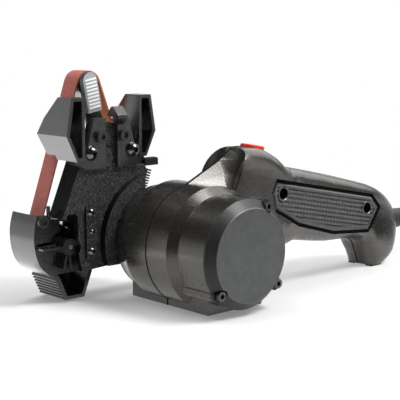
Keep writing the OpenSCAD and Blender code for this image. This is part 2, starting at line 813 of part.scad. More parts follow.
module commutator() {
    color([0.72, 0.45, 0.2]) turned([[shaft_r, commutator_y], [commutator_r, commutator_y],
        [commutator_r, commutator_y + commutator_l], [shaft_r, commutator_y + commutator_l]]);
}

module cooling_fan() {
    blades = 9;
    blade_t = 1.6;
    fan_hub_r = shaft_r + 3;
    color([0.2, 0.2, 0.22]) {
        turned([[shaft_r, fan_y], [fan_hub_r, fan_y], [fan_hub_r, fan_y + fan_l - 1.2],
            [rotor_r, fan_y + fan_l - 1.2], [rotor_r, fan_y + fan_l], [shaft_r, fan_y + fan_l]]);
        for (i = [0 : blades - 1]) translate([0, fan_y, axis_z]) rotate([0, 360 * i / blades, 0])
            translate([shaft_r + 1, 0.4, -blade_t / 2]) cube([rotor_r - shaft_r - 2, fan_l - 0.8, blade_t]);
    }
}

// A pulley with a rim, a web and a bored hub
module pulley(at, r, bore) {
    hub_r = min(bore + 2.4, r - pulley_rim - 0.6);
    web_in = pulley_w * 0.3;
    translate([at[0], pulley_y, at[1]]) rotate([-90, 0, 0]) rotate_extrude() polygon([[bore, 0], [hub_r, 0],
        [hub_r, web_in], [r - pulley_rim, web_in], [r - pulley_rim, 0], [r, 0], [r, pulley_w],
        [r - pulley_rim, pulley_w], [r - pulley_rim, pulley_w - web_in], [hub_r, pulley_w - web_in],
        [hub_r, pulley_w], [bore, pulley_w]]);
}

module drive_pulley() {
    color([0.3, 0.3, 0.3]) pulley(drive_at, drive_r, shaft_r);
}

module idler_pulley() {
    color([0.3, 0.3, 0.3]) pulley(idler_at, idler_r, idler_pin_r + run_gap);
}

module tension_pulley() {
    color([0.1, 0.1, 0.1]) pulley(tension_at, tension_r, pin_r + run_gap);
}

module pulley_screw() {
    color("silver") rod(drive_at, pulley_y + pulley_w, pulley_y + pulley_w + pin_head_h, shaft_r + 1);
}

module shoulder_outline() {
    translate(drive_at) circle(r = spigot_r + 6);
    intersection() {
        translate(drive_at) circle(r = shoulder_r);
        translate([-shoulder_r, shoulder_cut_z]) square([shoulder_r - 8, shoulder_r * 2]);
    }
}

module cassette_frame() {
    color([0.1, 0.1, 0.1]) difference() {
        union() {
            slab(plate_y, plate_back) polygon(frame_outline);
            slab(hub_y, plate_back) shoulder_outline();
            slab(plate_y, plate_y + side_wall) polygon(strip(side_wall_path, side_wall_t));
            slab(plate_y - bar_rise, plate_y + 0.5) translate([bar_x - bar_w / 2, bar_z[0]])
                square([bar_w, bar_z[1] - bar_z[0]]);
            slab(plate_y - bar_rise, plate_y + 0.5) translate([frame_left_x, bar_z[0] + 4])
                square([left_rim_w, bar_z[1] - bar_z[0] - 9]);
            slab(plate_y, plate_y + side_wall) polygon(strip(return_wall_path, return_wall_t));
            slab(plate_y + wing_step, plate_back) polygon(wing_outline);
            web(rib_x[0], rib_x[1]) polygon([[plate_y + 0.5, rib_z[0]], [plate_y - rib_rise, rib_z[0]],
                [plate_y - rib_rise, rib_z[1]], [plate_y + 0.5, rib_z[1] + rib_rise]]);
            rod([spring_foot_x, spring_post_z], plate_back - cut, belt_y, spring_post_r);
            rod(pivot_at, plate_back - cut, lever_y - 0.3, pivot_eye_r - 0.4);
        }
        rod(drive_at, hub_y - cut, plate_back + cut, spigot_r + run_gap);
        rod(pivot_at, plate_back + 2, belt_y, pin_r + fit_gap / 2);
        rod(idler_at, plate_y - bar_rise - cut, plate_back + cut, boss_r + fit_gap);
        for (z = cover_screw_z) rod([bar_x, z], hub_y, plate_back + cut, screw_r + fit_gap);
        for (side = [-1, 1]) {
            rod([frame_mid + side * guide_screw_dx, guide_screw_z], plate_y - cut, plate_back + cut,
                screw_r + fit_gap);
            rod([frame_mid + side * cap_screw_dx, cap_screw_z], plate_y - cut, plate_back + cut,
                screw_r + fit_gap);
        }
    }
}

cover_round = smooth(cover_curve, 4);
cover_end = cover_round[len(cover_round) - 1];
module lower_cover() {
    skin_path = concat(cover_round, [foot_tip, foot_heel, foot_top]);
    color([0.12, 0.12, 0.12]) difference() {
        union() {
            slab(cover_y, cover_y + cover_t)
                polygon(concat(skin_path, [[cover_right_x, 21], [cover_right_x, cover_top_z],
                    [idler_at[0] - 7.2, cover_top_z], [idler_at[0] - 10, cover_top_z + 2.7]]));
            slab(cover_y, cover_back) polygon(strip(skin_path, cover_t));
            slab(cover_back - cover_t, cover_back) polygon(below(skin_path, foot_open_z));
            translate([pin_at[0], cover_y + cover_t / 2, pin_at[1]]) cylinder(h = pin_l, r = top_pin_r);
            rod(idler_at, boss_y, pulley_y - 0.3, boss_r);
            slab(plate_back, cover_y + 0.5) translate([bar_x - bar_w / 2, bar_z[0]])
                square([bar_w, bar_z[1] - bar_z[0]]);
            for (r = boss_ribs) slab(boss_y + boss_wall, cover_y + 0.5) translate(idler_at) rotate(r[0])
                translate([boss_r - 0.5, -boss_rib_t / 2]) square([r[1] - boss_r, boss_rib_t]);
            for (i = [0 : foot_ribs - 1])
                rod(cover_end + (foot_tip - cover_end) * (i + 0.5) / foot_ribs, cover_y, cover_back,
                    foot_rib_r);
        }
        rod(idler_at, boss_y + boss_wall, belt_y, idler_pin_r + fit_gap / 2);
        rod(idler_at, boss_y - cut, belt_y, centre_screw_r + fit_gap);
        slab(cover_y - cut, cover_y + cover_t + cut) translate(idler_at) polygon(keyhole_shape);
        slab(cover_y - cut, cover_back - cover_t) polygon(below(beside(skin_path, cover_t), foot_open_z));
        for (z = cover_screw_z) rod([bar_x, z], plate_back - cut, cover_y, screw_r + fit_gap);
        rod(rim_screw_at, cover_y - cut, cover_y + rim_screw_l + cut, screw_r + fit_gap);
    }
}

// A dome head screw that points along +Y, with its head in front of y
module dome_screw(at, y, head_r, head_h, shank_r, shank_l) {
    ball_r = (head_r * head_r + head_h * head_h) / (2 * head_h);
    rod(at, y, y + shank_l, shank_r);
    difference() {
        intersection() {
            translate([at[0], y - head_h + ball_r, at[1]]) sphere(r = ball_r);
            rod(at, y - head_h, y, head_r);
        }
        translate([at[0], y - head_h - cut, at[1]]) rotate([-90, 0, 0])
            cylinder(h = head_h * 0.6 + cut, r = head_r * 0.4, $fn = 6);
    }
}

module cover_screws() {
    color("silver") for (i = [0 : len(cover_screw_z) - 1])
        dome_screw([bar_x, cover_screw_z[i]], plate_y - bar_rise, cover_screw_head_r[i], 1.6,
            min(screw_r, cover_screw_head_r[i] - 0.2), bar_rise + plate_t + 3);
}

module rim_screw() {
    color([0.12, 0.12, 0.12]) socket_screw(rim_screw_at, cover_y, socket_head_r, socket_head_h, screw_r,
        rim_screw_l);
}

module idler_axle() {
    end = pulley_y + pulley_w + pin_head_gap;
    color("silver") {
        rod(idler_at, boss_y - 0.5, boss_y + boss_wall + 0.5, centre_screw_r);
        rod(idler_at, boss_y + boss_wall + fit_gap, end, idler_pin_r);
        rod(idler_at, end, end + pin_head_h, idler_pin_r + 2);
    }
}

module lever_pivot() {
    end = lever_y + lever_t + 0.2;
    color("silver") {
        rod(pivot_at, plate_back + 2, end, pin_r);
        rod(pivot_at, end, end + pin_head_h, pin_r + 1.6);
    }
}

// Outline of a guide's hollow arm, drawn in by g
function arm_outline(g) = [[-slot_half - g, guide_low + g], [-24.8 + g * 0.5, guide_low + g],
    [g * 1.1 - guide_vertex[0], guide_vertex[1]], [-28.2 + g * 0.9, guide_top - g],
    [-slot_half - g, guide_top - g]];

// Side profile of an arm: square in front, slanted at the back, drawn in by g at the back
function arm_side(g) = [[guide_front, guide_low - cut], [guide_back - 4 - g, guide_low - cut],
    [guide_back - 1.5 - g, guide_low + 3.5], [guide_back - g, guide_vertex[1]],
    [guide_back - 5 - g, guide_vertex[1] + 9], [guide_back - 17 - g, guide_top + cut],
    [guide_front, guide_top + cut]];

module arm(g) {
    intersection() {
        slab(guide_front, guide_back) polygon(arm_outline(g));
        web(-guide_vertex[0] - cut, 0) polygon(arm_side(g));
    }
}

module knife_guide() {
    difference() {
        union() {
            arm(0);
            slab(flange_y, plate_y) mirror([1, 0]) polygon(flange_outline);
        }
        difference() {
            arm(guide_t);
            slab(flange_y, plate_y) mirror([1, 0]) polygon(flange_outline);
        }
        translate([0, -cut, 0]) intersection() {
            arm(guide_t);
            translate([-50, guide_front - cut, 0]) cube([50, 4, 200]);
        }
        translate([belt_slot_x[0], belt_slot_y, guide_low - cut])
            cube([belt_slot_x[1] - belt_slot_x[0], guide_back - belt_slot_y + cut,
                belt_slot_top - guide_low + cut]);
        rod([-guide_screw_dx, guide_screw_z], flange_y - cut, plate_y + cut, screw_r + fit_gap);
        rod([-cap_screw_dx, cap_screw_z], flange_y - cut, plate_y + cut, screw_r + fit_gap);
    }
}

module knife_guide_left() {
    color([0.15, 0.16, 0.16]) translate([frame_mid, 0, 0]) knife_guide();
}

module knife_guide_right() {
    color([0.15, 0.16, 0.16]) translate([frame_mid, 0, 0]) mirror([1, 0, 0]) knife_guide();
}

// A wedge on the right flange that stops the knife's edge
module edge_stop() {
    front = flange_y - stop_reach;
    color([0.25, 0.25, 0.25]) web(frame_mid + stop_x[0], frame_mid + stop_x[1])
        translate([0, flange_top]) polygon([[flange_y, -stop_grip], [flange_y, 0], [plate_back, 0],
            [plate_back, 1.5], [plate_y, stop_peak - 0.4], [plate_y - 2, stop_peak], [front, 1.4],
            [front, -0.4]]);
}

module guide_screws() {
    color("silver") for (side = [-1, 1])
        dome_screw([frame_mid + side * guide_screw_dx, guide_screw_z], flange_y, dome_r, dome_h, screw_r,
            flange_t + plate_t + 1);
}

module cap_screws() {
    color([0.12, 0.12, 0.12]) for (side = [-1, 1])
        socket_screw([frame_mid + side * cap_screw_dx, cap_screw_z], flange_y, socket_head_r, socket_head_h,
            screw_r, flange_t + plate_t + 1);
}

// Belt path round three pulleys, grown by g: the angle of each outer tangent, then the arcs between them
belt_wheels = [[drive_at, drive_r], [tension_at, tension_r], [idler_at, idler_r]];
function tangent_angle(a, b) = let (d = b[0] - a[0])
    atan2(d[1], d[0]) - 90 + asin((a[1] - b[1]) / norm(d));
function turn_from(a, b) = a + ((b - a) % 360 + 360) % 360;
function belt_loop(g) = [for (i = [0 : 2])
    let (w = belt_wheels[i], last = belt_wheels[(i + 2) % 3], next = belt_wheels[(i + 1) % 3],
        start = tangent_angle(last, w), stop = turn_from(start, tangent_angle(w, next)), steps = 14)
    each [for (k = [0 : steps]) let (a = start + (stop - start) * k / steps)
        w[0] + (w[1] + g) * [cos(a), sin(a)]]];
function loop_length(p) = let (n = len(p)) [for (i = [0 : n - 1]) norm(p[(i + 1) % n] - p[i])]
    * [for (i = [0 : n - 1]) 1];
echo(belt_length = loop_length(belt_loop(belt_gap + belt_t / 2)));

module abrasive_belt() {
    color([0.5, 0.22, 0.18]) slab(belt_y, belt_y + belt_w) difference() {
        polygon(belt_loop(belt_gap + belt_t));
        polygon(belt_loop(belt_gap));
    }
}

spring_l = (spring_high - spring_low) / cos(spring_lean);
spring_path = helix(spring_r, 0, spring_l, spring_turns, 8);
echo(least_spring_gap = least_gap(spring_path, 5, 2 * spring_wire_r));
module tension_spring() {
    color([0.1, 0.1, 0.1]) translate([spring_foot_x, lever_y + lever_t / 2, spring_low])
        rotate([0, spring_lean, 0]) tube(spring_path, spring_wire_r, 6);
}

// A straight bar between two points, of two half widths
function bar_outline(a, b, wa, wb) = let (h = unit(b - a), n = [-h[1], h[0]])
    [a + wa * n, a - wa * n, b - wb * n, b + wb * n];

module tension_lever() {
    color([0.4, 0.42, 0.43]) difference() {
        union() {
            slab(lever_y, lever_y + lever_t) {
                translate(pivot_at) circle(r = pivot_eye_r);
                translate(tension_at) circle(r = axle_eye_r);
                polygon(bar_outline(pivot_at, tension_at, pivot_eye_r - 0.3, axle_eye_r - 0.3));
                polygon([pivot_at + [-4, -2], [pivot_at[0] + 2, tail_low - 1], [pivot_at[0] + 10, tail_low],
                    [tail_end, tail_low], [tail_end, tail_top], [pivot_at[0] + 8, tail_top],
                    pivot_at + [3.5, -2.5]]);
            }
            slab(lever_y - 3, lever_y + lever_t) translate([spring_head_x - 4, tail_low])
                square([tail_end - spring_head_x + 4, tail_h]);
        }
        rod(pivot_at, lever_y - cut, lever_y + lever_t + cut, pin_r + run_gap);
        rod(tension_at, lever_y - cut, lever_y + lever_t + cut, pin_r + fit_gap / 2);
    }
}

module pad_shape() {
    translate(tension_at + pad_shift) rotate(pad_lean) {
        circle(r = pad_half_w);
        translate([-pad_half_w, -pad_len]) square([2 * pad_half_w, pad_len]);
    }
}

module thumb_pad() {
    rib_step = pad_len / pad_ribs;
    color([0.7, 0.72, 0.72]) {
        slab(lever_y - pad_plate_t, lever_y) pad_shape();
        for (i = [0 : pad_ribs - 1]) slab(lever_y - pad_plate_t - 0.6, lever_y - pad_plate_t + 0.2)
            translate(tension_at + pad_shift) rotate(pad_lean)
                translate([1 - pad_half_w, 2 - rib_step * (i + 0.9)])
                    square([2 * pad_half_w - 2, rib_step * 0.55]);
    }
}

module tension_axle() {
    end = pulley_y + pulley_w + pin_head_gap;
    color("silver") {
        rod(tension_at, lever_y, end, pin_r);
        rod(tension_at, end, end + pin_head_h, pin_r + 1.6);
    }
}

near_shell();
far_shell();
end_cap();
end_cap_screws();
grip_panel_near();
grip_panel_far();
handle_screws();
foot_pads();
stator();
brush_plate();
rear_bearing();
front_bearing();
switch_block();
power_button();
button_spring();
retaining_ring();
strain_relief();
cord_lead();
cord_coil();
cord_tie();
plug();
plug_blades();
motor_shaft();
rotor_core();
commutator();
cooling_fan();
drive_pulley();
pulley_screw();
cassette_frame();
lower_cover();
cover_screws();
rim_screw();
idler_axle();
lever_pivot();
knife_guide_left();
knife_guide_right();
edge_stop();
guide_screws();
cap_screws();
abrasive_belt();
tension_spring();
idler_pulley();
tension_lever();
thumb_pad();
tension_axle();
tension_pulley();
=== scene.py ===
import math

import bmesh
import bpy
from mathutils import Matrix, Vector

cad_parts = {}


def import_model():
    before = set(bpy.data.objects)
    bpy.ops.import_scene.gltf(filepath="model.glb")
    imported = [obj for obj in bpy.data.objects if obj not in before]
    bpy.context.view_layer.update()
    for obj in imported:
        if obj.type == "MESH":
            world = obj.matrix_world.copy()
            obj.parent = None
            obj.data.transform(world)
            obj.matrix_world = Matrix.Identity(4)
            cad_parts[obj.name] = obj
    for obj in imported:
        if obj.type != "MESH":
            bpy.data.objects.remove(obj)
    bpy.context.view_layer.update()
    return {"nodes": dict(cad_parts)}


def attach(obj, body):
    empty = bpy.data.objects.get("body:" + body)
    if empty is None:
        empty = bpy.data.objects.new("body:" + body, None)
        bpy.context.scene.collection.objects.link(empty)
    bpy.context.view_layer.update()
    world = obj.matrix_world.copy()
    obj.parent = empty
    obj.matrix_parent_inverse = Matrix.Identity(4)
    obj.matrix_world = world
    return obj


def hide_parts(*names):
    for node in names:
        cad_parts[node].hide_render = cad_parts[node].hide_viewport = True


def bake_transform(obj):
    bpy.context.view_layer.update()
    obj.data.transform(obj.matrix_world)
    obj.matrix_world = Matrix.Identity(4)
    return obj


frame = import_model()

MM = 0.001
NODES = frame["nodes"]
scene = bpy.context.scene
scene.view_settings.view_transform = "Standard"


# Node trees

class Tree:
    """A node tree, with short ways to add and join its nodes."""

    def __init__(self, tree):
        self.tree = tree

    def add(self, kind, **settings):
        node = self.tree.nodes.new(kind)
        for key, value in settings.items():
            setattr(node, key, value)
        return node

    def join(self, out, into):
        self.tree.links.new(out, into)

    def feed(self, value, into):
        """Gives an input a constant, or the output of another node."""
        if isinstance(value, (int, float, tuple)):
            into.default_value = value
        else:
            self.join(value, into)

    def calc(self, operation, *values):
        node = self.add("ShaderNodeMath", operation=operation)
        for value, into in zip(values, node.inputs):
            self.feed(value, into)
        return node.outputs[0]

    def measure(self, operation, *vectors):
        """The number that an operation on vectors gives."""
        node = self.add("ShaderNodeVectorMath", operation=operation)
        for vector, into in zip(vectors, node.inputs):
            self.feed(vector, into)
        return node.outputs["Value"]

    def axis(self, vector, name):
        node = self.add("ShaderNodeSeparateXYZ")
        self.join(vector, node.inputs[0])
        return node.outputs[name]

    def spread(self, fac, low, high, start=0.3, stop=0.7):
        """Goes from low to high while fac goes from start to stop."""
        node = self.add("ShaderNodeMapRange")
        for key, value in (("From Min", start), ("From Max", stop), ("To Min", low), ("To Max", high)):
            node.inputs[key].default_value = value
        self.join(fac, node.inputs["Value"])
        return node.outputs["Result"]

    def between(self, fac, low, high):
        node = self.add("ShaderNodeMix")
        for key, value in (("Factor", fac), ("A", low), ("B", high)):
            self.feed(value, node.inputs[key])
        return node.outputs["Result"]


class Paint(Tree):
    """A material with its shader, and short ways to colour and roughen it."""

    def __init__(self, name):
        self.material = bpy.data.materials.new(name)
        self.material.use_nodes = True
        super().__init__(self.material.node_tree)
        self.shader = self.tree.nodes["Principled BSDF"]
        self.place = self.add("ShaderNodeTexCoord").outputs["Object"]

    def set(self, **values):
        for key, value in values.items():
            self.shader.inputs[key.replace("_", " ")].default_value = value

    def noise(self, scale, detail=3.0, rough=0.55, stretch=None):
        node = self.add("ShaderNodeTexNoise")
        for key, value in (("Scale", scale), ("Detail", detail), ("Roughness", rough)):
            node.inputs[key].default_value = value
        place = self.place
        if stretch:
            mapping = self.add("ShaderNodeMapping")
            mapping.inputs["Scale"].default_value = stretch
            self.join(place, mapping.inputs["Vector"])
            place = mapping.outputs["Vector"]
        self.join(place, node.inputs["Vector"])
        return node.outputs["Fac"]

    def ramp(self, fac, *stops):
        node = self.add("ShaderNodeValToRGB")
        ramp = node.color_ramp
        while len(ramp.elements) < len(stops):
            ramp.elements.new(0.5)
        for element, (position, colour) in zip(ramp.elements, stops):
            element.position = position
            element.color = (*colour, 1)
        self.join(fac, node.inputs["Fac"])
        return node.outputs["Color"]

    def colour(self, out):
        self.join(out, self.shader.inputs["Base Color"])

    def roughness(self, out):
        self.join(out, self.shader.inputs["Roughness"])

    def bump(self, height, distance, strength):
        node = self.add("ShaderNodeBump")
        node.inputs["Strength"].default_value = strength
        node.inputs["Distance"].default_value = distance
        self.join(height, node.inputs["Height"])
        self.join(node.outputs["Normal"], self.shader.inputs["Normal"])


# Materials

def moulded(name, dark, light, rough, grain, depth, mottle, stretch=None, coat=0, shine=1, tint=(1, 1, 1)):
    """Moulded plastic: mottled colour, uneven gloss and a fine spark-eroded grain."""
    p = Paint(name)
    p.set(Specular_IOR_Level=shine, Specular_Tint=(*tint, 1), Coat_Weight=coat, Coat_Roughness=rough * 0.7)
    p.colour(p.ramp(p.noise(mottle, detail=5, rough=0.65, stretch=stretch), (0.35, dark), (0.68, light)))
    uneven = p.noise(mottle * 2.2, detail=5, rough=0.6, stretch=stretch)
    p.roughness(p.spread(uneven, rough - 0.05, rough + 0.06, start=0.2, stop=0.8))
    p.bump(p.noise(grain, detail=2), depth, strength=0.5)
    return p.material


def two_finish(name, near, far, painted_edge_highlight, rough, edge):
    """Plastic: one finish nearer than edge along Y, another behind it, and a painted highlight line between.
    """
    p = Paint(name)
    p.set(Specular_IOR_Level=0.45, Coat_Weight=0.1, Coat_Roughness=0.25)
    depth = p.axis(p.place, "Y")
    behind = p.spread(depth, 0, 1, start=edge - 0.0001, stop=edge + 0.0001)
    p.roughness(p.spread(behind, *rough, start=0, stop=1))
    # A thin paler ring at the edge: a painted highlight
    line = p.spread(depth, 0, 1, start=edge - 0.0004, stop=edge + 0.0002)
    shade = p.add("ShaderNodeVectorMath", operation="SCALE")
    p.join(p.ramp(line, (0.2, near), (0.3, painted_edge_highlight), (0.75, painted_edge_highlight), (1, far)), shade.inputs[0])
    p.join(p.spread(p.noise(220, detail=5, rough=0.65), 0.8, 1.2), shade.inputs["Scale"])
    p.colour(shade.outputs[0])
    p.bump(p.noise(1700, detail=2), 0.00005, strength=0.6)
    return p.material


def metal(name, colour, rough, brush=None):
    """Bare metal with faint turning marks."""
    p = Paint(name)
    p.set(Metallic=1.0)
    light = tuple(min(1, c * 1.12) for c in colour)
    p.colour(p.ramp(p.noise(420, rough=0.5, stretch=brush), (0.3, colour), (0.7, light)))
    p.roughness(p.spread(p.noise(900, detail=2, rough=0.5, stretch=brush), rough - 0.05, rough + 0.08))
    return p.material


def speckled(name, ground, painted_glint, rough, side_rough):
    """Black plastic with a coarse grain on the faces across Y, bright flecks there as painted glints, and
    smooth sides.
    """
    p = Paint(name)
    p.set(Specular_IOR_Level=0.45)
    normal = p.add("ShaderNodeNewGeometry").outputs["True Normal"]
    # Bright flecks only on faces across Y: painted glints of the grain
    wide = p.spread(p.calc("ABSOLUTE", p.axis(normal, "Y")), 0, 1, start=0.6, stop=0.8)
    grain = p.calc("MULTIPLY", p.noise(1300, detail=4, rough=0.8), wide)
    p.colour(p.ramp(grain, (0.5, ground), (0.68, painted_glint)))
    p.roughness(p.spread(wide, side_rough, rough, start=0, stop=1))
    p.bump(grain, 0.0004, strength=0.9)
    return p.material


def grit(name, dark, middle, pale):
    """Abrasive coat: mineral grains, with a few pale ones."""
    p = Paint(name)
    p.set(Specular_IOR_Level=0.3)
    cells = p.add("ShaderNodeTexVoronoi")
    cells.inputs["Scale"].default_value = 2300
    p.join(p.place, cells.inputs["Vector"])
    p.colour(p.ramp(p.noise(900, detail=4, rough=0.75), (0.3, dark), (0.62, middle), (0.8, pale)))
    p.roughness(p.spread(p.noise(300), 0.6, 0.85))
    p.bump(cells.outputs["Distance"], 0.0002, strength=0.7)
    return p.material


def ribbed(name, side, low, top, edge):
    """Plastic whose raised ribs, nearer than edge along Y, are paler than what lies behind them: painted
    shade between the ribs, and darkest sides.
    """
    p = Paint(name)
    p.set(Specular_IOR_Level=0.6)
    # The face between the ribs is painted shade; the sides are darkest
    depth = p.spread(p.axis(p.place, "Y"), 0, 1, start=edge - 0.0004, stop=edge + 0.0004)
    p.colour(p.ramp(depth, (0.3, top), (0.4, low), (0.6, low), (0.7, side)))
    p.roughness(p.spread(p.noise(400), 0.3, 0.5))
    p.bump(p.noise(1800, detail=2), 0.00004, strength=0.5)
    return p.material


def knurled(name, low, top, span):
    """Plastic with a cut pattern and painted shade and highlights: dark in the valleys, paler towards the
    peaks on both sides of the grip.
    """
    p = Paint(name)
    p.set(Specular_IOR_Level=0.8, Coat_Weight=0.3, Coat_Roughness=0.2)
    # Colour by height: painted shade in the valleys, painted highlights on the peaks and the rim
    height = p.calc("ABSOLUTE", p.axis(p.place, "Y"))
    p.colour(p.ramp(p.spread(height, 0, 1, *span), (0, low), (1, top)))
    p.roughness(p.spread(p.noise(350, detail=5, rough=0.6), 0.25, 0.36, start=0.2, stop=0.8))
    p.bump(p.noise(1500, detail=2), 0.00003, strength=0.5)
    return p.material


def cloth(name, dark, light):
    """Woven belt backing."""
    p = Paint(name)
    p.set(Roughness=0.85)
    wave = p.add("ShaderNodeTexWave", wave_type="BANDS", bands_direction="Y")
    wave.inputs["Scale"].default_value = 500
    p.join(p.place, wave.inputs["Vector"])
    threads = p.noise(600, detail=4, rough=0.7, stretch=(1, 3, 1))
    p.colour(p.ramp(threads, (0.3, dark), (0.7, light)))
    p.bump(wave.outputs["Fac"], 0.0001, strength=0.5)
    return p.material


LOOKS = {
    "housing": moulded("housing_plastic", (0.009, 0.0084, 0.0075), (0.014, 0.0129, 0.0112), rough=0.28,
                       grain=1300, depth=0.000012, mottle=300, stretch=(1, 0.5, 1), coat=0.4, shine=0.9,
                       tint=(1, 0.95, 0.88)),
    # The end cap's paler ring at the edge is a painted highlight
    "end_cap": two_finish("cap_plastic", near=(0.052, 0.0541, 0.0539), far=(0.007, 0.0067, 0.0063),
                          painted_edge_highlight=(0.1, 0.1, 0.1), rough=(0.46, 0.52), edge=-0.0477),
    # The grip's dark valleys and pale peaks are painted shade and highlights
    "grip": knurled("grip_plastic", low=(0.003, 0.0032, 0.0033), top=(0.055, 0.0585, 0.06),
                    span=(0.01535, 0.0164)),
    # The frame's bright flecks are painted glints
    "frame": speckled("frame_plastic", ground=(0.002, 0.0023, 0.0028), painted_glint=(0.17, 0.172, 0.16),
                      rough=0.34, side_rough=0.24),
    "cover": moulded("cover_plastic", (0.007, 0.0068, 0.0065), (0.01, 0.0097, 0.0093), rough=0.26,
                     grain=1200, depth=0.00003, mottle=70, coat=0.5, shine=0.75),
    "guide": moulded("guide_plastic", (0.008, 0.0083, 0.0086), (0.0115, 0.0118, 0.0122), rough=0.28,
                     grain=1300, depth=0.00003, mottle=90, coat=0.8),
    "button": moulded("button_plastic", (0.55, 0.028, 0.01), (0.68, 0.045, 0.014), rough=0.4,
                      grain=900, depth=0.00003, mottle=110, shine=0.3),
    "rubber": moulded("black_rubber", (0.014, 0.014, 0.014), (0.022, 0.022, 0.022), rough=0.5,
                      grain=1600, depth=0.00005, mottle=150, shine=0.5),
    "black_steel": moulded("black_steel", (0.01, 0.01, 0.011), (0.024, 0.024, 0.025), rough=0.3,
                           grain=2400, depth=0.00003, mottle=400, coat=0.2, shine=0.7),
    # Matte black for the parting line, and for the strip of painted shade in the grip's groove
    "gasket": moulded("groove_black_matte", (0.003, 0.003, 0.003), (0.006, 0.006, 0.006), rough=0.7,
                      grain=1600, depth=0.00003, mottle=150, shine=0.1),
    # The lever pad's darker face between the ribs is painted shade
    "lever": ribbed("lever_plastic", side=(0.045, 0.05, 0.055), low=(0.36, 0.37, 0.375),
                    top=(0.86, 0.88, 0.88), edge=0.048),
    "chrome": metal("plated_steel", (0.15, 0.15, 0.155), rough=0.2),
    "steel": metal("turned_steel", (0.42, 0.42, 0.43), rough=0.28, brush=(1, 8, 1)),
    "iron": metal("laminated_iron", (0.22, 0.22, 0.23), rough=0.5, brush=(1, 12, 1)),
    "copper": metal("copper", (0.72, 0.42, 0.2), rough=0.3),
    "abrasive": grit("abrasive_coat", dark=(0.26, 0.075, 0.062), middle=(0.45, 0.145, 0.122),
                     pale=(0.58, 0.25, 0.21)),
    "backing": cloth("belt_backing", dark=(0.34, 0.1, 0.025), light=(0.48, 0.165, 0.045)),
}

PAINTED = {
    "housing": ["near_shell", "far_shell", "cooling_fan"],
    "end_cap": ["end_cap"],
    "grip": ["grip_panel_near", "grip_panel_far"],
    "frame": ["cassette_frame", "switch_block", "brush_plate"],
    "cover": ["lower_cover", "edge_stop"],
    "guide": ["knife_guide_left", "knife_guide_right", "tension_pulley", "idler_pulley", "drive_pulley"],
    "button": ["power_button"],
    "rubber": ["foot_pads", "strain_relief", "cord_lead", "cord_coil", "cord_tie", "plug"],
    "steel": ["rear_bearing", "front_bearing", "motor_shaft", "pulley_screw", "idler_axle", "lever_pivot",
              "tension_axle", "retaining_ring"],
    "chrome": ["guide_screws", "cover_screws"],
    "black_steel": ["cap_screws", "rim_screw", "end_cap_screws", "tension_spring", "button_spring",
                    "handle_screws", "tension_lever"],
    "iron": ["stator", "rotor_core"],
    "copper": ["commutator", "plug_blades"],
    "abrasive": ["abrasive_belt"],
    "lever": ["thumb_pad"],
}

# Edges sharper than this, in degrees, are softened, in so many steps, or stay creases
SHARP = 25
SOFT_STEPS = 2

# Points closer than this, in millimetres, and faces within this angle, in degrees, are joined
SAME_POINT = 0.01
SAME_FACE = 0.4

# Width in millimetres of the softened edges on the solids that show
SOFTENED = {
    "near_shell": 0.5, "far_shell": 0.5, "end_cap": 0.6, "cassette_frame": 0.4, "lower_cover": 0.35,
    "knife_guide_left": 0.6, "knife_guide_right": 0.6, "edge_stop": 0.6, "thumb_pad": 0.3,
    "cap_screws": 0.3, "rim_screw": 0.3, "end_cap_screws": 0.25, "plug": 0.6,
    "tension_pulley": 0.3, "idler_pulley": 0.3, "drive_pulley": 0.3, "foot_pads": 0.2,
}


def join_faces(piece):
    """Joins the CAD faces at their edges, and the triangles of each flat face."""
    weld = piece.modifiers.new("weld", "WELD")
    weld.merge_threshold = SAME_POINT * MM
    flat = piece.modifiers.new("flat_faces", "DECIMATE")
    flat.decimate_type = "DISSOLVE"
    flat.angle_limit = math.radians(SAME_FACE)


def round_edges(piece, width):
    bevel = piece.modifiers.new("softened", "BEVEL")
    bevel.width = width * MM
    bevel.segments = SOFT_STEPS
    bevel.limit_method = "ANGLE"
    bevel.angle_limit = math.radians(SHARP)


def smooth(piece, angle=SHARP):
    """Smooth shading that keeps large flat faces flat, and splits at sharp edges."""
    piece.data.polygons.foreach_set("use_smooth", [True] * len(piece.data.polygons))
    split = piece.modifiers.new("creases", "EDGE_SPLIT")
    split.split_angle = math.radians(angle)
    weighted = piece.modifiers.new("weighted", "WEIGHTED_NORMAL")
    weighted.keep_sharp = True


for look, names in PAINTED.items():
    for name in names:
        solid = NODES[name]
        solid.data.materials.clear()
        solid.data.materials.append(LOOKS[look])
        join_faces(solid)
        if name in SOFTENED:
            round_edges(solid, SOFTENED[name])
        smooth(solid)


# New pieces, from points in millimetres in the CAD frame

def fix_normals(mesh):
    bm = bmesh.new()
    bm.from_mesh(mesh)
    bmesh.ops.recalc_face_normals(bm, faces=bm.faces)
    bm.to_mesh(mesh)
    bm.free()


def mesh_piece(name, points, faces, look, body, slot):
    """A mesh that rides on a body, or on none."""
    mesh = bpy.data.meshes.new(name)
    mesh.from_pydata([[c * MM for c in p] for p in points], [], faces)
    mesh.materials.append(LOOKS[look])
    piece = bpy.data.objects.new(name, mesh)
    scene.collection.objects.link(piece)
    fix_normals(mesh)
    if body:
        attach(piece, body)
    return piece


def tube_piece(name, path, r, look, body, roundness, closed=False):
    """A round line through the points of a path."""
    curve = bpy.data.curves.new(name, "CURVE")
    curve.dimensions = "3D"
    curve.bevel_depth = r * MM
    curve.bevel_resolution = roundness
    line = curve.splines.new("POLY")
    line.points.add(len(path) - 1)
    line.use_cyclic_u = closed
    for spot, p in zip(line.points, path):
        spot.co = (*(p * MM), 1)
    curve.materials.append(LOOKS[look])
    piece = bpy.data.objects.new(name, curve)
    scene.collection.objects.link(piece)
    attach(piece, body)
    return piece


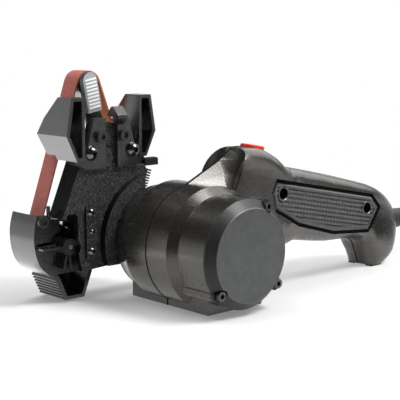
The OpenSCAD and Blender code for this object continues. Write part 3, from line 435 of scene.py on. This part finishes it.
def spline(a, b, c, d, t):
    """A point between b and c on a smooth curve through four points."""
    bend = 2 * a - 5 * b + 4 * c - d
    twist = 3 * b - a - 3 * c + d
    return 0.5 * (2 * b + (c - a) * t + bend * t * t + twist * t ** 3)


def curve_points(points, steps):
    points = [Vector(p) for p in points]
    last = len(points) - 1
    out = []
    for i in range(last):
        near = (points[max(i - 1, 0)], points[i], points[i + 1], points[min(i + 2, last)])
        out += [spline(*near, j / steps) for j in range(steps)]
    return out + [points[last]]


def pairs(loop):
    """Each item of a closed loop with the one after it."""
    return zip(loop, loop[1:] + loop[:1])


def ring_mesh(rings, closed):
    """Points and faces that join rings of equal length, the last back to the first where closed."""
    count = len(rings[0])
    points = [p for ring in rings for p in ring]
    faces = []
    for i in range(len(rings) if closed else len(rings) - 1):
        a, b = i * count, (i + 1) % len(rings) * count
        faces += [(a + k, a + (k + 1) % count, b + (k + 1) % count, b + k) for k in range(count)]
    return points, faces


def slab_mesh(outline, y0, y1):
    """A plate with an outline in X and Z, thick along Y."""
    count = len(outline)
    points = [(x, y, z) for y in (y0, y1) for x, z in outline]
    faces = [tuple(range(count)), tuple(range(2 * count - 1, count - 1, -1))]
    faces += [(k, (k + 1) % count, count + (k + 1) % count, count + k) for k in range(count)]
    return points, faces


def merged(parts):
    points, faces = [], []
    for more_points, more_faces in parts:
        faces += [tuple(i + len(points) for i in f) for f in more_faces]
        points += more_points
    return points, faces


def arc(at, r, start, stop, steps):
    turns = [math.radians(start + (stop - start) * k / steps) for k in range(steps + 1)]
    return [(at[0] + r * math.cos(a), at[1] + r * math.sin(a)) for a in turns]


def rounded_box(x0, z0, x1, z1, r, steps=5):
    """An outline with round corners."""
    corners = [(x1 - r, z0 + r, -90), (x1 - r, z1 - r, 0), (x0 + r, z1 - r, 90), (x0 + r, z0 + r, 180)]
    return [p for x, z, turn in corners for p in arc((x, z), r, turn, turn + 90, steps)]


# Mains lead: out of the strain relief, down to the floor and into a tied coil

CORD_D = 6.3
CORD_PITCH = 6.9
CORD_TURNS = 7.25
CLIMB_TURNS = 0.5
TURN_STEPS = 24
TIE_T, TIE_W, TIE_TURN = 1.2, 9, 140
TIE_CORNER, TIE_SLACK, TIE_SLACK_TOP, TIE_SLACK_LOW = 4, 0.6, 0.3, 0.2
TIE_END_T, TIE_END_FROM, TIE_END_TO = 1, 12, 5
COIL_MIN_R = 25.6
COIL_CENTRE = (222, -86)
COIL_LOW_Z = TIE_T + CORD_D / 2 + TIE_SLACK_LOW
COIL_OUT_R = COIL_MIN_R + CORD_PITCH * CORD_TURNS / 2
RELIEF_END = 216
LEAD_END = (COIL_CENTRE[0] + COIL_OUT_R, COIL_CENTRE[1] + CORD_D)
LEAD_ROUTE = [
    (RELIEF_END, 0, 27), (RELIEF_END + 8, 0, 27), (240, 0, 26), (251, -4, 23), (261, -12, 18.5),
    (268, -23, 13.5), (272, -36, 9), (274, -50, 6), (LEAD_END[0], -64, COIL_LOW_Z + 0.4),
    (LEAD_END[0], LEAD_END[1] + CORD_D, COIL_LOW_Z), (*LEAD_END, COIL_LOW_Z)]


def coil_point(turn):
    """Inwards along the floor, up in the middle half turn, and outwards on the second layer."""
    away = turn - CORD_TURNS / 2
    r = COIL_MIN_R + CORD_PITCH * abs(away)
    climb = min(max(away / CLIMB_TURNS + 0.5, 0), 1)
    angle = math.tau * turn
    return Vector((COIL_CENTRE[0] + r * math.cos(angle), COIL_CENTRE[1] - r * math.sin(angle),
                   COIL_LOW_Z + CORD_PITCH * climb))


def cord_strap():
    """A strap round all the turns, with its loose end laid over the top."""
    low_r = COIL_MIN_R - CORD_D / 2 - TIE_SLACK
    high_r = COIL_OUT_R + CORD_D / 2 + TIE_SLACK
    top = COIL_LOW_Z + CORD_PITCH + CORD_D / 2 + TIE_SLACK_TOP
    half = TIE_W / 2
    outer = rounded_box(low_r - TIE_T, 0, high_r + TIE_T, top + TIE_T, TIE_CORNER)
    inner = rounded_box(low_r, TIE_T, high_r, top, TIE_CORNER - TIE_T)
    loops = [(outer, -half), (outer, half), (inner, half), (inner, -half)]
    band = ring_mesh([[(r, y, z) for r, z in loop] for loop, y in loops], True)
    over = top + TIE_T
    start, stop = low_r + TIE_END_FROM, high_r - TIE_END_TO
    end = [(start, over), (stop, over), (stop, over + TIE_END_T / 2), (stop - TIE_END_T, over + TIE_END_T),
           (start, over + TIE_END_T)]
    points, faces = merged([band, slab_mesh(end, -half, half)])
    turn = Matrix.Rotation(math.radians(TIE_TURN), 3, "Z")
    placed = [turn @ Vector(p) + Vector((*COIL_CENTRE, 0)) for p in points]
    piece = mesh_piece("cord_strap", placed, faces, "rubber", "motor_unit", "rubber")
    round_edges(piece, width=0.25)
    smooth(piece)
    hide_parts("cord_tie")
    return piece


def mains_lead():
    path = curve_points(LEAD_ROUTE, steps=3)
    path += [coil_point(i / TURN_STEPS) for i in range(int(CORD_TURNS * TURN_STEPS) + 1)]
    path.append(path[-1] - Vector((CORD_D, 0, 0)))
    piece = tube_piece("mains_lead", path, CORD_D / 2, "rubber", "motor_unit", roundness=3)
    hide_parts("cord_lead", "cord_coil")
    cord_strap()


mains_lead()


# Grip panels: a bevelled rim, rows of small pyramids, collars round the screw holes and a black strip of
# painted shade in the groove

PANEL_OUTLINE = [(51.5, 66.5), (48, 60), (51, 48.8), (71.5, 38), (104.5, 29), (138, 26), (148.2, 40.6),
                 (141, 48.6)]
PANEL_INSET = 1.1
PANEL_FLOOR = 14.4
PANEL_TOP = 16.4
PANEL_FIELD = 15.7
PANEL_RIM = 2.6
HOLES = [(57.9, 58.1), (136, 41.1)]
HOLE_R = 3.5
HOLE_SIDES = 32

# One cell of the pattern, where the pattern starts and how far it goes, all along and down the panel
KNURL = (2.9, 2.7)
KNURL_START = (-10, -2)
KNURL_REACH = (112, 40)
KNURL_LOW, KNURL_NOTCH = 15.3, 15.9
KNURL_RIM = [(0, 0, KNURL_LOW), (1, 0, KNURL_LOW), (1, 0.5, KNURL_NOTCH), (1, 1, KNURL_LOW),
             (0, 1, KNURL_LOW), (0, 0.5, KNURL_NOTCH)]
KNURL_TUCK = 0.3
KNURL_CLEAR = 0.8
KNURL_JOIN, KNURL_CUT = 0.01, 0.001


def centre(points):
    return sum(points, Vector((0, 0))) / len(points)


def inset(outline, by):
    """A convex outline drawn in by a distance."""
    corners = [Vector(p) for p in outline]
    middle = centre(corners)
    lines = []
    for a, b in pairs(corners):
        along = (b - a).normalized()
        inward = Vector((-along.y, along.x))
        if inward.dot(middle - a) < 0:
            inward = -inward
        lines.append((a + inward * by, along))
    out = []
    for (a, u), (b, v) in zip(lines[-1:] + lines[:-1], lines):
        turn = u.x * v.y - u.y * v.x
        away = b - a
        out.append(a + u * ((away.x * v.y - away.y * v.x) / turn))
    return out


def outline_band(outline, profile, side):
    """A closed band that follows an outline, with a profile of insets and heights."""
    return ring_mesh([[(p.x, side * y, p.y) for p in inset(outline, by)] for by, y in profile], True)


def panel_rim(side):
    profile = [(0, PANEL_FLOOR), (0, PANEL_TOP - 0.8), (0.8, PANEL_TOP), (2, PANEL_TOP),
               (PANEL_RIM, PANEL_FIELD), (PANEL_RIM, PANEL_FLOOR)]
    return outline_band(inset(PANEL_OUTLINE, PANEL_INSET), profile, side)


def gasket(side):
    """A black strip that fills the bottom of the groove round a panel: painted shade in the groove."""
    profile = [(-PANEL_INSET, 0), (-PANEL_INSET, 1.2), (-PANEL_INSET + 0.3, 0.3), (PANEL_INSET - 0.3, 0.3),
               (PANEL_INSET - 0.05, 0.5), (PANEL_INSET, 0)]
    return outline_band(PANEL_OUTLINE, [(by, PANEL_FLOOR + rise) for by, rise in profile], side)


def collar(at, side):
    profile = [(0, PANEL_FLOOR), (0, PANEL_TOP - 0.3), (0.3, PANEL_TOP), (1, PANEL_TOP), (1.5, PANEL_FIELD),
               (1.5, PANEL_FLOOR)]
    turns = [math.tau * k / HOLE_SIDES for k in range(HOLE_SIDES)]
    rings = []
    for wall, y in profile:
        r = HOLE_R + wall
        rings.append([(at[0] + r * math.cos(a), side * y, at[1] + r * math.sin(a)) for a in turns])
    return ring_mesh(rings, True)


def add_pyramids(bm, side):
    """Pyramids in rows along the panel's top edge, past the panel on all sides."""
    start, stop = Vector(PANEL_OUTLINE[0]), Vector(PANEL_OUTLINE[-1])
    along = (stop - start).normalized()
    down = Vector((along.y, -along.x))
    wide, high = KNURL

    def vertex(u, v, y):
        p = start + along * u + down * v
        return bm.verts.new((p.x, side * y, p.y))

    for i in range(int(KNURL_REACH[0] / wide)):
        for j in range(int(KNURL_REACH[1] / high)):
            u0, v0 = KNURL_START[0] + i * wide, KNURL_START[1] + j * high
            low = [vertex(u0 + a * wide, v0 + b * high, y) for a, b, y in KNURL_RIM]
            peak = vertex(u0 + 0.5 * wide, v0 + 0.5 * high, PANEL_TOP)
            for a, b in pairs(low):
                bm.faces.new((a, b, peak))
    bmesh.ops.remove_doubles(bm, verts=bm.verts, dist=KNURL_JOIN)


def clip(bm, outline):
    """Cuts away what lies outside a convex outline."""
    middle = centre(outline)
    for a, b in pairs(outline):
        out = Vector((b.y - a.y, a.x - b.x))
        if out.dot(middle - a) > 0:
            out = -out
        bmesh.ops.bisect_plane(bm, geom=bm.verts[:] + bm.edges[:] + bm.faces[:], dist=KNURL_CUT,
                               plane_co=(a.x, 0, a.y), plane_no=(out.x, 0, out.y), clear_outer=True)


def clear_hole(bm, at):
    near = []
    for face in bm.faces:
        middle = face.calc_center_median()
        if (Vector((middle.x, middle.z)) - Vector(at)).length < HOLE_R + KNURL_CLEAR:
            near.append(face)
    bmesh.ops.delete(bm, geom=near, context="FACES")


def knurl_field(side, holes):
    """The cut pattern inside the rim, with a skirt down to the panel's floor."""
    bm = bmesh.new()
    add_pyramids(bm, side)
    clip(bm, inset(PANEL_OUTLINE, PANEL_INSET + PANEL_RIM - KNURL_TUCK))
    for at in holes:
        clear_hole(bm, at)
    edge = [e for e in bm.edges if e.is_boundary]
    skirt = bmesh.ops.extrude_edge_only(bm, edges=edge)["geom"]
    for v in (g for g in skirt if isinstance(g, bmesh.types.BMVert)):
        v.co.y = side * PANEL_FLOOR
    points = [tuple(v.co) for v in bm.verts]
    bm.verts.index_update()
    faces = [tuple(v.index for v in f.verts) for f in bm.faces]
    bm.free()
    return points, faces


for node, side, holes in (("grip_panel_near", -1, HOLES), ("grip_panel_far", 1, [])):
    # The black strip in each groove is painted shade
    smooth(mesh_piece(node + "_gasket", *gasket(side), "gasket", "motor_unit", "rubber"))
    shapes = [panel_rim(side), knurl_field(side, holes)] + [collar(at, side) for at in holes]
    panel = mesh_piece(node + "_knurled", *merged(shapes), "grip", "motor_unit", "grip")
    smooth(panel, angle=20)
    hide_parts(node)


# Abrasive belt: coated outside, cloth inside and on its edges

AXIS_Z = 33.6
BELT_Y, BELT_W, BELT_T, BELT_GAP = 54, 12.7, 0.9, 0.25
DRIVE, TENSION, IDLER = (0, AXIS_Z), (-31.5, AXIS_Z + 88.7), (-57.5, AXIS_Z)
DRIVE_R, TENSION_R, IDLER_R = 8.7, 7.3, 11.4
WHEELS = [(Vector(DRIVE), DRIVE_R), (Vector(TENSION), TENSION_R), (Vector(IDLER), IDLER_R)]
WRAP_STEPS, RUN_STEPS = 20, 24


def tangent_angle(a, b):
    """Where the belt leaves wheel a on its way to wheel b."""
    away = b[0] - a[0]
    return math.atan2(away.y, away.x) - math.pi / 2 + math.asin((a[1] - b[1]) / away.length)


def belt_loop(grow):
    """The belt's line round the wheels, at a distance from their rims."""
    out = []
    for i, (at, r) in enumerate(WHEELS):
        last, following = WHEELS[i - 1], WHEELS[(i + 1) % len(WHEELS)]
        start = tangent_angle(last, (at, r))
        turn = (tangent_angle((at, r), following) - start) % math.tau
        angles = [start + turn * k / WRAP_STEPS for k in range(WRAP_STEPS + 1)]
        ways = [Vector((math.cos(a), math.sin(a))) for a in angles]
        out += [at + (r + grow) * way for way in ways]
        ahead = following[0] + (following[1] + grow) * ways[-1]
        out += [out[-1].lerp(ahead, k / RUN_STEPS) for k in range(1, RUN_STEPS)]
    return out


def belt():
    outer, inner = belt_loop(BELT_GAP + BELT_T), belt_loop(BELT_GAP)
    edges = [(outer, BELT_Y), (outer, BELT_Y + BELT_W), (inner, BELT_Y + BELT_W), (inner, BELT_Y)]
    points, faces = ring_mesh([[(p.x, y, p.y) for p in loop] for loop, y in edges], True)
    piece = mesh_piece("sanding_belt", points, faces, "abrasive", None, "abrasive")
    piece.data.materials.append(LOOKS["backing"])
    for face in piece.data.polygons:
        face.material_index = 0 if face.index < len(outer) else 1
    smooth(piece)
    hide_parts("abrasive_belt")
    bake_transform(piece)


belt()


# Springs: wound wires that lean about Y, set between the two bodies that they join

# A direction that no wire follows
OFF_WIRE = Vector((0.02, 0.01, 1))


def wire_mesh(path, r, sides):
    rings = []
    for i, p in enumerate(path):
        ahead = (path[min(i + 1, len(path) - 1)] - path[max(i - 1, 0)]).normalized()
        across = ahead.cross(OFF_WIRE).normalized()
        up = across.cross(ahead)
        turns = [math.tau * k / sides for k in range(sides)]
        rings.append([tuple(p + r * (math.cos(a) * across + math.sin(a) * up)) for a in turns])
    points, faces = ring_mesh(rings, False)
    last = len(points) - sides
    return points, faces + [tuple(range(sides)), tuple(range(last, last + sides))]


def spring(name, node, foot, lean, span, r, wire, sides, turns):
    tilt = Matrix.Rotation(lean, 3, "Y")
    low, high = span
    count = int(turns * TURN_STEPS)
    path = []
    for i in range(count + 1):
        turn = math.tau * i / TURN_STEPS
        wound = Vector((r * math.cos(turn), r * math.sin(turn), low + (high - low) * i / count))
        path.append(foot + tilt @ wound)
    piece = mesh_piece(name, *wire_mesh(path, wire, sides), "black_steel", None, "black_steel")
    smooth(piece)
    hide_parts(node)
    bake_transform(piece)


spring("lever_spring", "tension_spring", foot=Vector((5.6, 52.3, 59.94)),
       lean=math.radians(19), span=(0, 12.2), r=3, wire=0.55, sides=10, turns=7.5)


# Guard inside the belt, over the idler and behind the cover's opening

GUARD_IN_R, GUARD_OUT_R = 13.3, 14.6
GUARD_FROM, GUARD_TO = -12, 105
GUARD_Y = (47.5, 66)


def idler_guard():
    outline = arc(IDLER, GUARD_OUT_R, GUARD_TO, GUARD_FROM, steps=24)
    outline += arc(IDLER, GUARD_IN_R, GUARD_FROM, GUARD_TO, steps=24)
    piece = mesh_piece("idler_guard", *slab_mesh(outline, *GUARD_Y), "cover", "cassette", "cassette_plastic")
    round_edges(piece, width=0.3)
    smooth(piece)


idler_guard()


# Release lever: a flat plate behind the pad, with a toothed tab on the tail that the spring pulls on

LEVER_Y, LEVER_T = 51.4, 1.8
PIVOT, PIVOT_R, AXLE_R = (-19, 86), 4.6, 3.6
TAIL_END, TAIL_TOP, TAIL_LOW = 15.7, 77.8, 73.2
TAB_X, TAB_T = 5.6, 3
TEETH, TOOTH_SLOPE, TOOTH_FLAT = 5, 0.9, (0.3, 0.7)


def release_lever():
    plate = [(TAIL_END, TAIL_TOP), (-11, TAIL_TOP), *arc(PIVOT, PIVOT_R, -45, 35, 8), (-25.6, 107.5),
             (-27.6, 117.5), *arc(TENSION, AXLE_R, 0, 150, 14), (-38.2, 119.5), (-35.9, 107), (-34.6, 99),
             *arc(PIVOT, PIVOT_R, 190, 215, 3), (-17, TAIL_LOW - 1), (-9, TAIL_LOW), (TAIL_END, TAIL_LOW)]
    parts = [slab_mesh(plate, LEVER_Y, LEVER_Y + LEVER_T)]
    step = (TAIL_END - TAB_X) / TEETH
    for k in range(TEETH):
        x = TAB_X + k * step
        tooth = [(x, TAIL_LOW), (x + step, TAIL_LOW), (x + step, TAIL_TOP - TOOTH_SLOPE),
                 (x + step * TOOTH_FLAT[1], TAIL_TOP), (x + step * TOOTH_FLAT[0], TAIL_TOP),
                 (x, TAIL_TOP - TOOTH_SLOPE)]
        parts.append(slab_mesh(tooth, LEVER_Y - TAB_T, LEVER_Y))
    piece = mesh_piece("release_lever", *merged(parts), "black_steel", "lever", "black_steel")
    round_edges(piece, width=0.25)
    smooth(piece)
    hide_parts("tension_lever")


release_lever()


# Power button: a long round-ended cap on a lipped foot, dished towards the handle, on its spring

BUTTON_AT = Vector((47.4, 0, 84.9))
BUTTON_TILT = math.radians(11)
BUTTON_L, BUTTON_W = 16.2, 10.5
BUTTON_LOW, BUTTON_TOP = -7.5, 1.8
LIP, LIP_TOP = 0.8, BUTTON_LOW + 1.2
DISH_AT, DISH_HALF, DISH_DEPTH, DISH_EDGE = 3.2, 5, 1.2, 1.5
BUTTON_PROFILE = [(-LIP, BUTTON_LOW), (-LIP, LIP_TOP), (0, LIP_TOP), (0, BUTTON_TOP - 0.9),
                  (0.25, BUTTON_TOP - 0.35)]
BUTTON_PROFILE += [(by, BUTTON_TOP) for by in (0.8, DISH_EDGE, 2.2, 3.2, 4.2, 5.1)]


def pill_ring(by, steps=14):
    """Points round a slot shape that is drawn in from the button's outline."""
    r = BUTTON_W / 2 - by
    half = (BUTTON_L - BUTTON_W) / 2
    return arc((half, 0), r, -90, 90, steps) + arc((-half, 0), r, 90, 270, steps)


def button_cap():
    tilt = Matrix.Rotation(BUTTON_TILT, 3, "Y")
    rings = []
    for by, z in BUTTON_PROFILE:
        ring = []
        for u, v in pill_ring(by):
            hollow = max(0, 1 - ((u - DISH_AT) / DISH_HALF) ** 2)
            dip = DISH_DEPTH * hollow * min(max(by - DISH_EDGE, 0), 1)
            ring.append(tuple(BUTTON_AT + tilt @ Vector((u, v, z - dip))))
        rings.append(ring)
    points, faces = ring_mesh(rings, False)
    count = len(rings[0])
    faces += [tuple(range(count)), tuple(range(len(points) - count, len(points)))]
    piece = mesh_piece("button_cap", points, faces, "button", "button", "button_red")
    smooth(piece, angle=40)
    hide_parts("power_button")


button_cap()
spring("button_coil", "button_spring", foot=BUTTON_AT, lean=BUTTON_TILT,
       span=(-11.5, -8), r=3, wire=0.4, sides=8, turns=3)


# Parting line: a thin black line where the two shells meet, taken from the near shell's own edges

LINE_R, LINE_SINK = 0.6, 0.3
SEAM_NEAR, SEAM_FLAT = 0.02, 0.9


def seam_edges():
    """Edges in the seam's plane between the flat joint face and the outer wall."""
    mesh = NODES["near_shell"].data
    flat, steep = set(), set()
    for face in mesh.polygons:
        spots = [tuple(round(c / MM, 2) for c in mesh.vertices[i].co) for i in face.vertices]
        for a, b in pairs(spots):
            if abs(a[1]) < SEAM_NEAR and abs(b[1]) < SEAM_NEAR:
                (flat if abs(face.normal.y) > SEAM_FLAT else steep).add(frozenset((a, b)))
    return flat & steep


def seam_loop():
    """The seam's outer loop, in X and Z, from its point furthest along X."""
    beside = {}
    for a, b in (tuple(edge) for edge in seam_edges()):
        beside.setdefault(a, []).append(b)
        beside.setdefault(b, []).append(a)
    start = max(beside)
    loop, last, here = [start], None, start
    while True:
        ahead = [p for p in beside[here] if p != last]
        last, here = here, ahead[0]
        if here == start:
            return [Vector((p[0], p[2])) for p in loop]
        loop.append(here)


def parting_line():
    loop = seam_loop()
    count = len(loop)
    area = sum(loop[i].x * loop[i - 1].y - loop[i - 1].x * loop[i].y for i in range(count))
    turn = 1 if area < 0 else -1
    path = []
    for i, p in enumerate(loop):
        along = (loop[(i + 1) % count] - loop[i - 1]).normalized()
        sunk = p + turn * LINE_SINK * Vector((-along.y, along.x))
        path.append(Vector((sunk.x, 0, sunk.y)))
    tube_piece("parting_line", path, LINE_R, "gasket", "motor_unit", roundness=1, closed=True)


parting_line()


# Camera, fitted to the photograph's frame

CAMERA_AT = Vector((-411.95, -456.91, 153.72)) * MM
CAMERA_YAW, CAMERA_PITCH = 42.43, 8.79
FOCAL_PX, FRAME_PX = 1100, 400
SENSOR = 36


def camera():
    data = bpy.data.cameras.new("camera")
    data.sensor_width = SENSOR
    data.lens = SENSOR * FOCAL_PX / FRAME_PX
    data.clip_start = 0.01
    rig = bpy.data.objects.new("camera", data)
    rig.location = CAMERA_AT
    rig.rotation_euler = (math.radians(90 - CAMERA_PITCH), 0, math.radians(-CAMERA_YAW))
    scene.collection.objects.link(rig)
    scene.camera = rig


camera()


# Light, in metres and watts, with the way that the camera looks and the way to its right, both level

AIM = Vector((60, 0, 45)) * MM
AHEAD, ASIDE = (0.675, 0.738, 0), (0.738, -0.675, 0)
WHITE = 1

# Sky: its light on the object, and what gloss sees overhead and behind the camera
SKY_LIGHT, SKY_TOP, SKY_BACK = 0.25, 0.03, 0.05
SKY_RISE, SKY_TURN = (0.05, 0.3), (-0.55, 0.1)

# Floor: its own tone, how far it is lifted to white for the camera, and where it turns white altogether
FLOOR_REACH = 6
FLOOR_TONE = (0.72, 0.72, 0.72, 1)
FLOOR_LIFT = 0.2
FLOOR_FADE, FLOOR_END = (0.02, 0.4), (0.45, 1.1)

# Places where only gloss sees the floor brighter or darker
UNDER_LIFT, UNDER_FADE = 0.5, (0.02, 0.14)
SPOT_AT, SPOT_FADE = (-0.09, 0.16, 0), (0.06, 0.13)
FRONT_FADE = (-0.32, -0.16)
RIGHT_DARK, RIGHT_FADE = 0.6, (0.18, 0.32)

# Name, place, size and power of each lamp, and its aim where that isn't the object
TABLE_AT, TABLE_AIM = (*SPOT_AT[:2], 0.002), (*SPOT_AT[:2], 1)
LAMPS = [
    ("key", (0.35, -0.48, 0.9), (0.4, 0.4), 12.5),
    ("left", (-0.28, 0.31, 1.04), (0.55, 0.55), 6),
    ("right_back", (0.8, 0.2, 0.8), (1, 1), 5),
    ("right", (0.8, -0.7, 0.5), (0.55, 0.55), 1),
    ("left_low", (-0.75, 0.25, 0.38), (0.3, 0.4), 0.7),
    ("table", TABLE_AT, (0.16, 0.16), 0.08, TABLE_AIM),
]


def lamp(name, place, size, power, aim=AIM):
    data = bpy.data.lights.new(name, "AREA")
    data.shape = "RECTANGLE"
    data.size, data.size_y = size
    data.energy = power
    rig = bpy.data.objects.new(name, data)
    rig.location = place
    rig.rotation_euler = (Vector(aim) - rig.location).to_track_quat("-Z", "Y").to_euler()
    rig.visible_camera = False
    scene.collection.objects.link(rig)


def world():
    """White to the camera. In gloss it is white near the horizon, and dark overhead and behind the camera."""
    sky = bpy.data.worlds.new("studio")
    scene.world = sky
    sky.use_nodes = True
    t = Tree(sky.node_tree)
    rays = t.add("ShaderNodeLightPath").outputs
    way = t.add("ShaderNodeTexCoord").outputs["Generated"]
    low = t.spread(t.axis(way, "Z"), WHITE, SKY_TOP, *SKY_RISE)
    room = t.between(t.spread(t.measure("DOT_PRODUCT", way, AHEAD), 0, 1, *SKY_TURN), SKY_BACK, low)
    mirrored = t.calc("MAXIMUM", rays["Is Glossy Ray"], rays["Is Transmission Ray"])
    level = t.between(rays["Is Camera Ray"], t.between(mirrored, SKY_LIGHT, room), WHITE)
    back = t.tree.nodes["Background"]
    back.inputs["Color"].default_value = (1, 1, 1, 1)
    t.join(level, back.inputs["Strength"])


def floor_paint():
    """Pale, with the object's shadow, and white further off. In gloss some places are brighter or darker."""
    p = Paint("pale_floor")
    p.set(Base_Color=FLOOR_TONE, Roughness=0.6, Specular_IOR_Level=0.25)
    rays = p.add("ShaderNodeLightPath").outputs
    seen, gloss = rays["Is Camera Ray"], rays["Is Glossy Ray"]
    mirrored = p.calc("MAXIMUM", gloss, rays["Is Transmission Ray"])
    ahead = p.measure("DOT_PRODUCT", p.place, AHEAD)
    aside = p.measure("DOT_PRODUCT", p.place, ASIDE)
    away = p.measure("LENGTH", p.place)
    off_spot = p.measure("DISTANCE", p.place, SPOT_AT)
    far = p.calc("MAXIMUM", p.spread(ahead, 0, 1, *FLOOR_FADE), p.spread(away, 0, 1, *FLOOR_END))
    layers = [
        (WHITE, FLOOR_LIFT, seen),
        (WHITE, p.spread(aside, UNDER_LIFT, 0, *UNDER_FADE), gloss),
        (WHITE, far, p.calc("MAXIMUM", seen, mirrored)),
        (WHITE, p.spread(off_spot, 1, 0, *SPOT_FADE), gloss),
        (SKY_BACK, p.spread(ahead, 1, 0, *FRONT_FADE), gloss),
        (SKY_BACK, p.spread(aside, 0, RIGHT_DARK, *RIGHT_FADE), gloss),
    ]
    out = p.shader.outputs["BSDF"]
    for level, share, ray in layers:
        light = p.add("ShaderNodeEmission")
        light.inputs["Color"].default_value = (level, level, level, 1)
        mix = p.add("ShaderNodeMixShader")
        p.join(p.calc("MULTIPLY", share, ray), mix.inputs["Fac"])
        p.join(out, mix.inputs[1])
        p.join(light.outputs["Emission"], mix.inputs[2])
        out = mix.outputs["Shader"]
    p.join(out, p.tree.nodes["Material Output"].inputs["Surface"])
    return p.material


def floor():
    r = FLOOR_REACH
    mesh = bpy.data.meshes.new("floor")
    mesh.from_pydata([(-r, -r, 0), (r, -r, 0), (r, r, 0), (-r, r, 0)], [], [(0, 1, 2, 3)])
    mesh.materials.append(floor_paint())
    piece = bpy.data.objects.new("floor", mesh)
    scene.collection.objects.link(piece)


world()
floor()
for row in LAMPS:
    lamp(*row)
